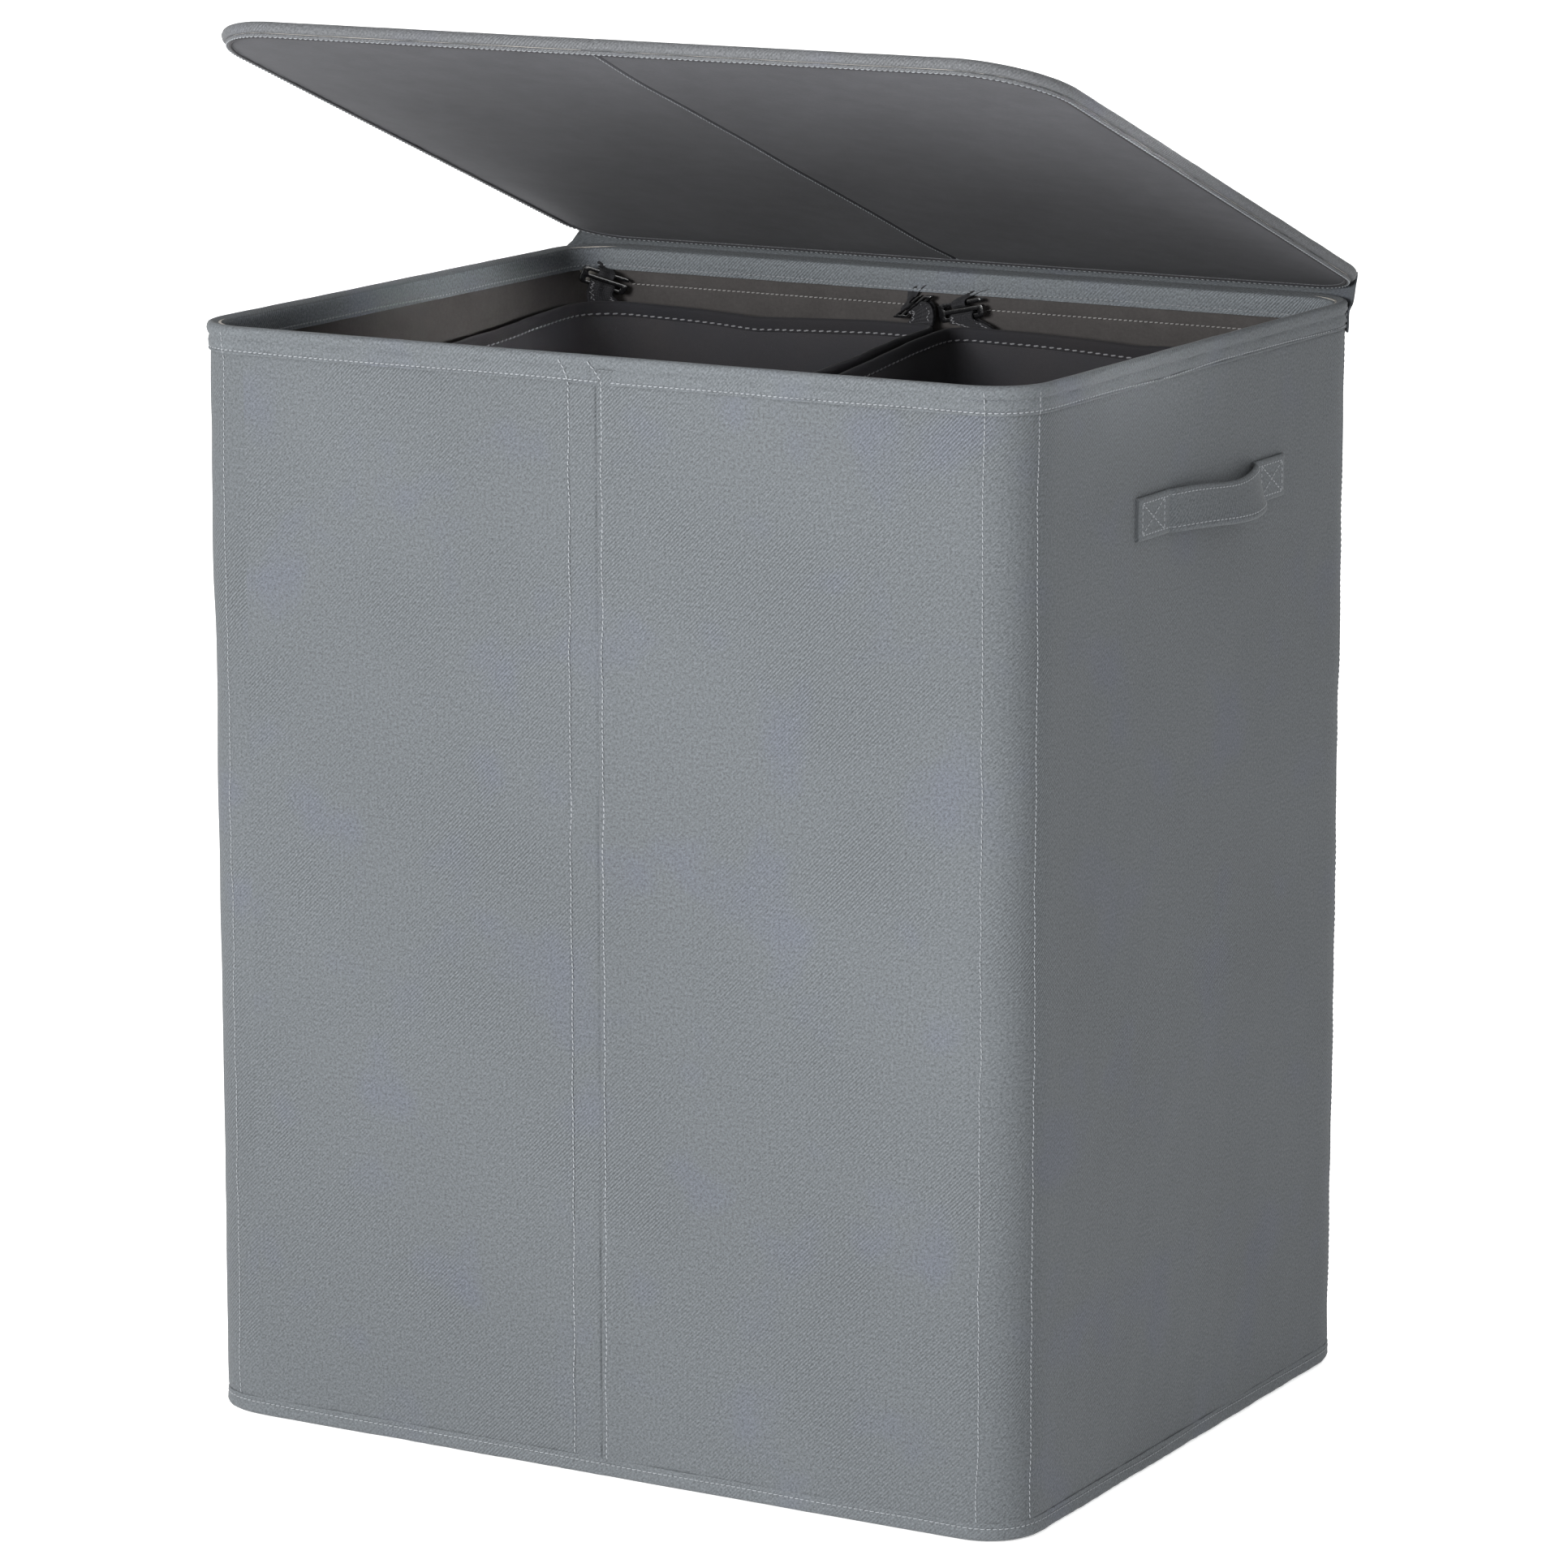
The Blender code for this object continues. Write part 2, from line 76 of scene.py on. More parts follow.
# ---- sizes of the cloth and sewing ----------------------------------------------------------------
CORNER = 0.038
CORNER_CROWN = 0.002
CLOTH = 0.0012
HEM_STITCH_Z = RIM_EDGE - 0.0142
LINING_STITCH_Z = 0.616
LID_X = 0.2695
LID_LENGTH = 0.462
LID_FRONT_CORNER = 0.055
LID_REAR_CORNER = 0.035
LID_SEAM = -0.0028
LID_HALF = 0.004
BAG_GAP = 0.0165
BAG_HALF_GAP = 0.003
BAG_OUTER = 0.030
BAG_INNER = 0.015
CLIP_TILTS = {
    "left_rear_outer": -20.0,
    "left_rear_centre": 52.0,
    "right_rear_centre": 13.0,
    "right_rear_outer": 9.0,
    "left_front_outer": 8.0,
    "left_front_centre": -14.0,
    "right_front_centre": 17.0,
    "right_front_outer": -7.0,
}
CLIP_SHIFTS = {"left_rear_centre": -0.004, "right_rear_centre": -0.014}


# ---- grids and meshes -----------------------------------------------------------------------------
def mm(*pairs):
    """Pairs of millimetres as pairs of metres."""
    return [(first / 1000, second / 1000) for first, second in pairs]


def mesh_of(name, points, faces, uv=None):
    mesh = bpy.data.meshes.new(name)
    mesh.from_pydata(np.reshape(points, (-1, 3)).tolist(), [], faces)
    if uv is not None:
        layer = mesh.uv_layers.new(name="cloth")
        layer.data.foreach_set("uv", np.asarray(uv, np.float32).ravel())
    mesh.validate()
    mesh.shade_smooth()
    return mesh


def grid_faces(rows, columns, wrap_rows, wrap_columns):
    """Corner numbers of each quad, and the corners' places in the unwrapped grid for its UVs."""
    spans = np.arange(rows - 1 + wrap_rows), np.arange(columns - 1 + wrap_columns)
    row, column = (values.ravel() for values in np.meshgrid(*spans, indexing="ij"))
    places = ((row, column), (row, column + 1), (row + 1, column + 1), (row + 1, column))
    faces = np.stack([(r % rows) * columns + c % columns for r, c in places], axis=1)
    return faces, places


def grid_mesh(name, points, along, across, wrap_rows=False, wrap_columns=False, caps=False):
    """A mesh over points[row][column], with UVs in metres: along the columns and across the rows. Caps close
    the two ends of a tube."""
    rows, columns = points.shape[:2]
    faces, places = grid_faces(rows, columns, wrap_rows, wrap_columns)
    faces = faces.tolist()
    uv = np.stack([np.stack([along[c], across[r]], axis=-1) for r, c in places], axis=1).reshape(-1, 2)
    if caps:
        numbers = np.arange(rows * columns).reshape(rows, columns)
        ends = (numbers[:, 0], numbers[::-1, -1]) if wrap_rows else (numbers[0, ::-1], numbers[-1])
        faces += [end.tolist() for end in ends]
        index = np.concatenate(ends)
        uv = np.vstack([uv, np.stack([along[index % columns], across[index // columns]], axis=-1)])
    return mesh_of(name, points, faces, uv)


def walked(points):
    """Distance walked to each point of a path, starting at 0."""
    steps = np.linalg.norm(np.diff(points, axis=0), axis=1)
    return np.concatenate([[0.0], np.cumsum(steps)])


def closed(points):
    return np.vstack([points, points[:1]])


def path_of(x, y, z):
    """Points from their coordinates, where a single number holds for all of them."""
    return np.stack(np.broadcast_arrays(x, y, z), axis=-1).astype(float)


def spread(low, high, step, marks=()):
    """Places from low to high about a step apart, closer within reach of each (centre, reach, step) mark."""
    count = max(1, round((high - low) / step))
    places = set(np.linspace(low, high, count + 1))
    for centre, reach, fine in marks:
        places = {place for place in places if abs(place - centre) > reach + fine / 2}
        fine_count = max(2, round(2 * reach / fine))
        places |= set(np.linspace(centre - reach, centre + reach, fine_count + 1))
    return [low, *(place for place in sorted(places) if place - low > 1e-5 and high - place > 1e-5), high]


def outline(low, high, radii, step, marks):
    """Stations counterclockwise round a rectangle with rounded corners, from its front left, as x, y, outward
    x and outward y, and the distance walked to each. Radii run front right, rear right, rear left, front
    left."""
    corners = np.array(((high[0], low[1]), high, (low[0], high[1]), low))
    rows = []
    for side, (corner, radius) in enumerate(zip(corners, radii)):
        turn = (side - 1) * math.pi / 2
        outward = np.array((math.cos(turn), math.sin(turn)))
        forward = np.array((-outward[1], outward[0]))
        start = corners[side - 1] @ forward + radii[side - 1]
        end = corner @ forward - radius
        sign = 1 if side < 2 else -1
        side_marks = [(sign * centre, reach, fine) for centre, reach, fine in marks.get(side, ())]
        for place in spread(start, end, step, side_marks):
            rows.append((*(forward * place + outward * (corner @ outward)), *outward))
        centre = corner - radius * (outward + forward)
        count = max(8, math.ceil(radius * math.pi / 2 / step))
        for index in range(1, count):
            angle = turn + math.pi / 2 * index / count
            normal = np.array((math.cos(angle), math.sin(angle)))
            rows.append((*(centre + radius * normal), *normal))
    rows = np.array(rows)
    return rows, walked(closed(rows[:, :2]))


def rings(stations, offset, height):
    """Points round the stations at each outward offset and height, one ring for each row of them."""
    offset, height, x, y, outward_x, outward_y = np.broadcast_arrays(offset, height, *stations.T)
    return np.stack([x + outward_x * offset, y + outward_y * offset, height], axis=-1)


def level_normals(stations):
    return path_of(stations[:, 2], stations[:, 3], 0.0)


def on_flat(stations):
    """True on the front and the rear, outside the corners."""
    return np.abs(stations[:, 3]) > 0.99


def band(name, around, section, relief=None):
    """A closed hoop round an outline. Section is a closed list of (offset, height), outside going up."""
    stations, distance = around
    section = np.asarray(section, float)
    offset, height = section[:, :1], section[:, 1:]
    if relief is not None:
        offset = offset + relief(distance[:-1][None, :], stations, height)
    points = rings(stations, offset, height)
    return grid_mesh(name, points, distance, walked(closed(section)), wrap_rows=True, wrap_columns=True)


def waves(u, v, wavelength, seed):
    """Smooth random relief of about unit height, the same for the same seed."""
    draw = np.random.default_rng(seed)
    count = 9
    total = 0.0
    for _ in range(count):
        angle, phase = draw.uniform(0, TAU, 2)
        rate = TAU / wavelength * draw.uniform(0.6, 1.5)
        total = total + np.sin(rate * (u * math.cos(angle) + v * math.sin(angle)) + phase)
    return total / math.sqrt(count / 2)


def groove(distance, depth, width):
    return -depth * np.exp(-((distance / width) ** 2))


def smooth(low, high, value):
    share = np.clip((np.asarray(value, float) - low) / (high - low), 0, 1)
    return share * share * (3 - 2 * share)


def arc_section(centre, radii, start, end, count):
    """Points (offset, height) on an elliptical arc, angles in degrees, 0 outward and 90 up."""
    angles = np.radians(np.linspace(start, end, count))
    return [(centre[0] + radii[0] * math.cos(a), centre[1] + radii[1] * math.sin(a)) for a in angles]


def flat_section(width, thickness, ridge, steps):
    """Closed (across, out) outline of a strap: rounded edges, with a raised ridge along both."""
    half, thick = width / 2, thickness / 2
    across = np.linspace(-half + thick, half - thick, steps + 1)
    crown = ridge * np.exp(-(((np.abs(across) - half + 2.2 * thick) / (1.5 * thick)) ** 2))
    right = arc_section((half - thick, 0.0), (thick, thick), 60, -60, 5)
    left = arc_section((-half + thick, 0.0), (thick, thick), 240, 120, 5)
    return np.array([*zip(across, thick + crown), *right, *((a, -thick) for a in across[::-1]), *left])


def sweep(name, path, outward, sideways, section, move=None):
    """A strap whose section (across, out) follows the path; outward and sideways are its unit vectors."""
    outward, sideways = (np.broadcast_to(vectors, path.shape) for vectors in (outward, sideways))
    points = path[None] + section[:, :1, None] * sideways[None] + section[:, 1:, None] * outward[None]
    if move is not None:
        points = move(points)
    return grid_mesh(name, points, walked(path), walked(closed(section)), wrap_rows=True, caps=True)


def curve_through(points, count):
    """A smooth path through the points, evenly spaced."""
    points = np.asarray(points, float)
    padded = np.vstack([2 * points[0] - points[1], points, 2 * points[-1] - points[-2]])
    t = np.linspace(0, 1, 24, endpoint=False)[:, None]
    fine = []
    for a, b, c, d in zip(padded, padded[1:], padded[2:], padded[3:]):
        bends = (2 * a - 5 * b + 4 * c - d) * t**2 + (3 * b - a - 3 * c + d) * t**3
        fine.append(0.5 * (2 * b + (c - a) * t + bends))
    fine = np.vstack([*fine, points[-1:]])
    return sampled(fine, walked(fine), np.linspace(0, walked(fine)[-1], count))


def sampled(values, travelled, distances):
    """Rows of values at some distances, where travelled is the distance of each row given."""
    return np.stack([np.interp(distances, travelled, column) for column in values.T], axis=-1)


def unit(vectors):
    return vectors / np.linalg.norm(vectors, axis=-1, keepdims=True)


def plan_normals(path, turn):
    """Unit vectors at right angles to a path in a plane, on the side that turn (the plane's axis) gives."""
    return unit(np.cross(np.gradient(path, axis=0), np.asarray(turn, float)))


def turned(vectors, matrix):
    return np.asarray(vectors, float) @ np.array(matrix, float)[:3, :3].T


def moved(points, matrix):
    return turned(points, matrix) + np.array(matrix, float)[:3, 3]


# ---- sewing thread --------------------------------------------------------------------------------
STITCH = 0.0025
STITCH_SPACE = 0.0009
THREAD = 0.00042
STITCH_SIDES = 6
# Place along a stitch, its thickness there and how far it lifts off the cloth.
STITCH_HALF = ((-0.5, 0.45, -0.8), (-0.36, 0.95, 0.1), (-0.12, 1.0, 0.5))
STITCH_PROFILE = (*STITCH_HALF, *((-place, size, lift) for place, size, lift in STITCH_HALF[::-1]))


def stitch_template(length, thread):
    """One stitch as points along, across and up, and its faces: a short tube that dips into the cloth."""
    points = []
    for place, size, lift in STITCH_PROFILE:
        for angle in TAU * np.arange(STITCH_SIDES) / STITCH_SIDES:
            up = 0.75 * size * math.sin(angle) + lift
            points.append((place * length, thread * size * math.cos(angle), thread * up))
    count = len(STITCH_PROFILE)
    faces = grid_faces(count, STITCH_SIDES, False, True)[0][:, ::-1].tolist()
    last = (count - 1) * STITCH_SIDES
    faces += [[0, 1, 2, 3], [0, 3, 4, 5]]
    faces += [[last + 3, last + 2, last + 1, last], [last + 5, last + 4, last + 3, last]]
    return np.array(points), np.array(faces)


def stitch_row(path, normals, length=STITCH, space=STITCH_SPACE, thread=THREAD, slant=0.12):
    """Points of the stitches along one row."""
    normals = np.broadcast_to(np.asarray(normals, float), path.shape)
    travelled = walked(path)
    count = max(1, int(travelled[-1] / (length + space)))
    middle = (np.arange(count) + 0.5) * travelled[-1] / count
    up = unit(sampled(normals, travelled, middle))
    ahead, behind = (sampled(path, travelled, middle + reach) for reach in (length / 3, -length / 3))
    forward = unit(ahead - behind)
    forward = unit(forward + slant * np.cross(up, forward))
    points = sampled(path, travelled, middle)[:, None]
    template = stitch_template(length, thread)[0][None]
    for axis, vectors in enumerate((forward, np.cross(up, forward), up)):
        points = points + template[..., axis : axis + 1] * vectors[:, None]
    return points


def sew(name, rows, thread="thread", body="shell"):
    """All the stitches of several rows as one piece."""
    points = np.concatenate(rows).reshape(-1, 3)
    template, faces = stitch_template(STITCH, THREAD)
    count = len(points) // len(template)
    starts = np.arange(count) * len(template)
    all_faces = (faces[None] + starts[:, None, None]).reshape(-1, 4)
    uv = np.tile(template[:, :2], (count, 1))[all_faces.ravel()]
    return add_piece(mesh_of(name, points, all_faces.tolist(), uv), thread, body)


# ---- materials ------------------------------------------------------------------------------------
class Recipe:
    """A material's nodes, added and joined in few words."""

    def __init__(self, name):
        self.material = bpy.data.materials.new(name)
        self.material.use_nodes = True
        self.tree = self.material.node_tree
        self.shader = self.tree.nodes["Principled BSDF"]

    def put(self, target, value):
        if isinstance(value, bpy.types.NodeSocket):
            self.tree.links.new(value, target)
        else:
            target.default_value = value

    def add(self, kind, inputs=(), **settings):
        node = self.tree.nodes.new(kind)
        for key, value in settings.items():
            setattr(node, key, value)
        for key, value in dict(inputs).items():
            self.put(node.inputs[key], value)
        return node

    def math(self, operation, first, second=0.0):
        return self.add("ShaderNodeMath", {0: first, 1: second}, operation=operation).outputs[0]

    def plus(self, first, second):
        return self.math("ADD", first, second)

    def times(self, value, *factors):
        for factor in factors:
            value = self.math("MULTIPLY", value, factor)
        return value

    def cloth_place(self):
        return self.add("ShaderNodeUVMap", uv_map="cloth").outputs[0]

    def object_place(self):
        return self.add("ShaderNodeTexCoord").outputs["Object"]

    def noise(self, place, scale, detail=2.0, roughness=0.5):
        inputs = {"Vector": place, "Scale": scale, "Detail": detail, "Roughness": roughness}
        return self.add("ShaderNodeTexNoise", inputs).outputs[0]

    def span(self, value, low, high, to_low, to_high):
        """The value from low..high mapped to to_low..to_high, and held there."""
        inputs = {0: value, 1: low, 2: high, 3: to_low, 4: to_high}
        return self.add("ShaderNodeMapRange", inputs, clamp=True).outputs[0]

    def ridges(self, place, across, along, pitch):
        """Sine ridges, -1 to 1, at right angles to the direction (across, along) of the place."""
        parts = self.add("ShaderNodeSeparateXYZ", {0: place}).outputs
        size = math.hypot(across, along)
        first = self.times(parts[0], across / size * TAU / pitch)
        second = self.times(parts[1], along / size * TAU / pitch)
        return self.math("SINE", self.plus(first, second))

    def shade(self, weave, contrast, *factors):
        """Brightness about 1 that follows the weave, times further factors."""
        return self.times(self.plus(1.0, self.times(weave, contrast)), *factors)

    def mixed(self, share, first, second):
        inputs = {"Factor": share, 6: (*first, 1.0), 7: (*second, 1.0)}
        return self.add("ShaderNodeMix", inputs, data_type="RGBA").outputs[2]

    def scaled(self, colour, value):
        return self.add("ShaderNodeVectorMath", {0: colour, "Scale": value}, operation="SCALE").outputs[0]

    def finish(self, colour, height, depth, roughness, **sockets):
        bump = self.add("ShaderNodeBump", {"Height": height, "Distance": depth, "Strength": 1.0}).outputs[0]
        surface = {"Base Color": colour, "Roughness": roughness, "Normal": bump}
        surface.update({key.replace("_", " "): value for key, value in sockets.items()})
        for key, value in surface.items():
            self.put(self.shader.inputs[key], value)
        return self.material


def brighter(colour, factor):
    return tuple(channel * factor for channel in colour)


def twill(name, colour, direction=1, contrast=0.30):
    """Polyester twill: fine diagonal ridges, crisper in some patches than in others, with a cooler tint here
    and there."""
    recipe = Recipe(name)
    place = recipe.cloth_place()
    crisp = recipe.span(recipe.noise(place, 9.0, 3.0), 0.40, 0.66, 0.12, 1.0)
    diagonal = recipe.ridges(place, 1.0, -direction, 0.00165)
    crossing = recipe.ridges(place, 1.0, 0.45 * direction, 0.0011)
    grain = recipe.noise(place, 640.0, 3.0, 0.8)
    weave = recipe.times(recipe.plus(diagonal, recipe.times(crossing, 0.35)), crisp)
    broad = recipe.span(recipe.noise(place, 5.0, 3.0), 0.3, 0.7, 0.95, 1.05)
    shade = recipe.shade(weave, contrast, recipe.span(grain, 0.32, 0.68, 0.58, 1.42), broad)
    cool = (colour[0] * 0.98, colour[1] * 0.98, colour[2] * 1.13)
    patches = recipe.span(recipe.noise(place, 16.0, 2.0), 0.55, 0.70, 0.0, 0.55)
    tinted = recipe.scaled(recipe.mixed(patches, colour, cool), shade)
    height = recipe.plus(recipe.times(weave, 0.5), grain)
    rough = recipe.span(grain, 0.2, 0.8, 0.72, 0.92)
    return recipe.finish(tinted, height, 0.00016, rough, Sheen_Weight=0.04, Specular_IOR_Level=0.2)


def plain_weave(name, colour):
    """Thin plain-woven cloth: threads crossing at right angles, with broad uneven dye."""
    recipe = Recipe(name)
    place = recipe.cloth_place()
    pitch = 0.0009
    weave = recipe.times(recipe.ridges(place, 1.0, 0.0, pitch), recipe.ridges(place, 0.0, 1.0, pitch * 1.15))
    grain = recipe.noise(place, 700.0, 3.0, 0.7)
    broad = recipe.noise(place, 11.0, 4.0)
    fine_tone = recipe.span(grain, 0.25, 0.75, 0.86, 1.14)
    shade = recipe.shade(weave, 0.12, fine_tone, recipe.span(broad, 0.3, 0.7, 0.9, 1.1))
    warm = (colour[0] * 1.08, colour[1], colour[2] / 1.08)
    tinted = recipe.scaled(recipe.mixed(recipe.span(broad, 0.4, 0.65, 0.0, 1.0), colour, warm), shade)
    height = recipe.plus(recipe.times(weave, 0.6), grain)
    rough = recipe.span(grain, 0.2, 0.8, 0.77, 0.93)
    return recipe.finish(tinted, height, 0.0001, rough, Sheen_Weight=0.04, Specular_IOR_Level=0.2)


def felted(name, colour):
    """Non-woven lining: short matted fibres pressed flat, in small soft patches."""
    recipe = Recipe(name)
    place = recipe.cloth_place()
    fibres = recipe.noise(place, 420.0, 5.0, 0.75)
    mottle = recipe.noise(place, 60.0, 4.0, 0.6)
    broad = recipe.span(recipe.noise(place, 7.0, 3.0), 0.3, 0.7, 0.95, 1.05)
    fine_tone = recipe.span(fibres, 0.3, 0.7, 0.82, 1.18)
    shade = recipe.times(fine_tone, recipe.span(mottle, 0.3, 0.7, 0.94, 1.06), broad)
    tone = recipe.mixed(recipe.span(mottle, 0.35, 0.65, 0.0, 1.0), colour, brighter(colour, 1.05))
    height = recipe.plus(fibres, mottle)
    rough = recipe.span(fibres, 0.3, 0.7, 0.8, 0.95)
    tinted = recipe.scaled(tone, shade)
    return recipe.finish(tinted, height, 0.00012, rough, Sheen_Weight=0.02, Specular_IOR_Level=0.15)


def webbing_weave(name, colour):
    """Narrow woven tape: ribs straight across it and fine warp threads along it."""
    recipe = Recipe(name)
    place = recipe.cloth_place()
    ribs = recipe.ridges(place, 1.0, 0.0, 0.0012)
    warp = recipe.ridges(place, 0.25, 1.0, 0.0016)
    grain = recipe.noise(place, 800.0, 2.0, 0.7)
    weave = recipe.plus(recipe.times(ribs, 0.7), recipe.times(warp, 0.5))
    tinted = recipe.scaled(colour, recipe.shade(weave, 0.22, recipe.span(grain, 0.2, 0.8, 0.7, 1.3)))
    rough = recipe.span(grain, 0.2, 0.8, 0.6, 0.85)
    return recipe.finish(tinted, weave, 0.00016, rough, Sheen_Weight=0.03, Specular_IOR_Level=0.25)


def thread_twist(name, colour):
    """Sewing thread: two plies twisted together, a little uneven in tone."""
    recipe = Recipe(name)
    plies = recipe.ridges(recipe.cloth_place(), 1.0, 1.2, 0.0006)
    tone = recipe.noise(recipe.object_place(), 40.0, 2.0)
    shade = recipe.plus(recipe.span(tone, 0.3, 0.7, 0.88, 1.1), recipe.times(plies, 0.08))
    rough = recipe.span(tone, 0.3, 0.7, 0.5, 0.7)
    return recipe.finish(recipe.scaled(colour, shade), plies, 0.00005, rough, Sheen_Weight=0.1)


def moulded_plastic(name, colour):
    """Glossy injection-moulded plastic with faint flow waves and rubbed edges."""
    recipe = Recipe(name)
    place = recipe.object_place()
    flow = recipe.noise(place, 260.0, 3.0)
    scuffs = recipe.noise(place, 1500.0, 4.0, 0.7)
    tone = recipe.mixed(recipe.span(scuffs, 0.45, 0.75, 0.0, 1.0), colour, brighter(colour, 1.9))
    rough = recipe.span(scuffs, 0.35, 0.75, 0.12, 0.26)
    return recipe.finish(tone, flow, 0.00006, rough, Specular_IOR_Level=0.6)


def pressed_board(name, colour):
    """Stiffening board: pressed fibre with specks and long faint rolling marks."""
    recipe = Recipe(name)
    place = recipe.object_place()
    specks = recipe.noise(place, 900.0, 4.0, 0.7)
    stretched = recipe.add("ShaderNodeMapping", {"Vector": place, "Scale": (120.0, 120.0, 6.0)})
    streaks = recipe.span(recipe.noise(stretched.outputs[0], 1.0, 3.0), 0.3, 0.7, 0.9, 1.1)
    shade = recipe.times(recipe.span(specks, 0.3, 0.7, 0.8, 1.15), streaks)
    rough = recipe.span(specks, 0.3, 0.7, 0.6, 0.85)
    return recipe.finish(recipe.scaled(colour, shade), specks, 0.0002, rough)


def make_materials():
    grey = (0.0590, 0.0645, 0.0693)
    return {
        "cover": twill("cover_twill", grey),
        "strap": twill("handle_twill", brighter(grey, 1.08), direction=-1, contrast=0.50),
        "rim": twill("rim_twill", brighter(grey, 1.08), contrast=0.26),
        # The rim's inner leg: the same twill made 1.6 times brighter, painted light for the light that falls
        # inside the rim.
        "rim_leg_painted_light": twill("rim_leg_painted_light_twill", brighter(grey, 1.6), contrast=0.34),
        "lid_top": twill("lid_twill", grey),
        "lid_roll": twill("lid_roll_twill", (0.064, 0.0663, 0.0700)),
        "lining": felted("wall_lining_felt", (0.0415, 0.0385, 0.0375)),
        # The lid's felt is the walls' lining felt with its own brighter, cooler tone, set for the light on
        # the lid: partly painted light.
        "lid_lining": felted("lid_felt_painted_light", (0.0460, 0.0465, 0.0510)),
        "liner": plain_weave("liner_weave", (0.0285, 0.0285, 0.0325)),
        "hem": plain_weave("liner_hem_weave", (0.017, 0.017, 0.020)),
        "webbing": webbing_weave("black_webbing", (0.012, 0.012, 0.014)),
        "thread": thread_twist("grey_thread", (0.150, 0.160, 0.171)),
        "lining_thread": thread_twist("lining_thread", (0.200, 0.195, 0.190)),
        "dark_thread": thread_twist("dark_thread", (0.17, 0.17, 0.18)),
        "plastic": moulded_plastic("black_plastic", (0.003, 0.003, 0.0034)),
        "board": pressed_board("fibre_board", (0.33, 0.31, 0.28)),
        "strip": pressed_board("fold_strip_cloth", (0.10, 0.10, 0.11)),
    }


def add_piece(mesh, material, body=None, replaces=(), sharp=40.0):
    """One visual piece, named as its mesh."""
    mesh.materials.append(MATERIALS[material])
    mesh.set_sharp_from_angle(angle=math.radians(sharp))
    item = bpy.data.objects.new(mesh.name, mesh)
    bpy.context.scene.collection.objects.link(item)
    if replaces:
        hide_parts(*replaces)
    if body:
        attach(item, body)
    return item


# ---- shell: cover, bindings, lining, base ---------------------------------------------------------
FOLD_STITCH = -0.0135
FOLD_EDGE = 0.0045
FOLD_TOPSTITCH = 0.0080
CORNER_ROW = 0.0150
FOOT_STITCH_Z = 0.0083
FRONT, REAR = 0, 2
FOLD_MARKS = [(FOLD_STITCH, 0.003, 0.0006), (FOLD_EDGE + 0.002, 0.0065, 0.0006)]


def wall_outline(step=0.005):
    marks = {FRONT: FOLD_MARKS, REAR: FOLD_MARKS}
    stations, distance = outline((-WALL_X, -WALL_Y), (WALL_X, WALL_Y), (CORNER,) * 4, step, marks)
    crown = CORNER_CROWN * (2 * stations[:, 2] * stations[:, 3]) ** 2
    stations[:, :2] += crown[:, None] * stations[:, 2:]
    return stations, distance


def corner_rows(stations, distance):
    """Where the upright stitch rows stand, one on each side of the middle of every corner."""
    outward = stations[:, 2:]
    diagonal = np.abs(np.abs(outward[:, 0]) - np.abs(outward[:, 1]))
    found = []
    for quarter in ((1, 1), (1, -1), (-1, 1), (-1, -1)):
        here = (outward * quarter > 0).all(axis=1) & (np.abs(outward) > 0.01).all(axis=1)
        middle = distance[:-1][here][np.argmin(diagonal[here])]
        found += [middle - CORNER_ROW, middle + CORNER_ROW]
    return found


def wall_waviness(distance, height):
    """How far the cover's flat cloth stands off its layer."""
    return 0.0003 + 0.00022 * waves(distance, height, 0.16, 11) + 0.0001 * waves(distance, height, 0.045, 12)


def cover_relief(distance, stations, height):
    """How far the cover stands off its flat layer: soft waviness, sewn grooves and the folded edge."""
    x = stations[:, 0]
    sewn = 0.0009 * smooth(FOLD_EDGE, FOLD_EDGE + 0.0008, x) * (1 - smooth(0.011, 0.020, x))
    sewn = sewn + groove(x - FOLD_STITCH, 0.0006, 0.0010)
    sewn = sewn + groove(x - FOLD_EDGE, 0.0013, 0.0007)
    sewn = sewn + groove(x - FOLD_TOPSTITCH, 0.0003, 0.0009)
    relief = wall_waviness(distance, height) + np.where(on_flat(stations), sewn, 0.0)
    relief = relief + groove(height - RIM_TOP + 0.0162, 0.00045, 0.0010)
    relief = relief + groove(height - COVER_BOTTOM, 0.0004, 0.0015)
    return np.maximum(relief, -0.0002)


def build_cover():
    low, top = COVER_BOTTOM - 0.0005, RIM_BOTTOM + 0.005
    heights = spread(low, top, 0.008, ((RIM_TOP - 0.0158, 0.003, 0.0006), (COVER_BOTTOM, 0.004, 0.0008)))
    section = [(0.0, z) for z in heights] + [(-CLOTH, z) for z in (top, 0.45, 0.2, low)]

    def relief(distance, stations, height):
        full = cover_relief(distance, stations, height)
        full[len(heights) :] = 0.0
        return full

    mesh = band("cover_cloth", wall_outline(), section, relief)
    add_piece(mesh, "cover", "shell", ["outer_cover"])


# How far the rim tape stands off the wall, and how far below the rim's edge: outside, over the top and down
# the inner leg, then its hidden back.
RIM_FACE = mm((1.0, 15.8), (1.1, 15.1), (0.5, 14.2), (1.1, 13.3), (1.2, 10.5))
RIM_FACE += mm((1.0, 8.8), (0.6, 7.6), (1.1, 6.6), (1.6, 5.4), (1.8, 3.8))
RIM_OVER = mm((-3.0, 0.5), (-4.5, 1.0), (-6.0, 1.5), (-7.0, 2.2), (-7.7, 3.4), (-8.1, 5.2))
RIM_OVER += mm((-8.2, 8.5), (-8.0, 11.8), (-7.7, 13.2), (-8.1, 14.2), (-8.0, 15.1), (-7.3, 15.1))
RIM_BACK = mm((-7.3, 4.8), (-6.0, 2.7), (0.0, 2.5), (0.2, 16.0))
INNER_LEG_ROWS = 9


def rim_face(height):
    offsets, depths = zip(*RIM_FACE[::-1])
    return np.interp(RIM_EDGE - np.asarray(height, float), depths, offsets)


def on_rim(heights):
    """1 where the rim tape covers the wall, 0 below it."""
    return smooth(RIM_TOP - 0.0170, RIM_TOP - 0.0155, heights)


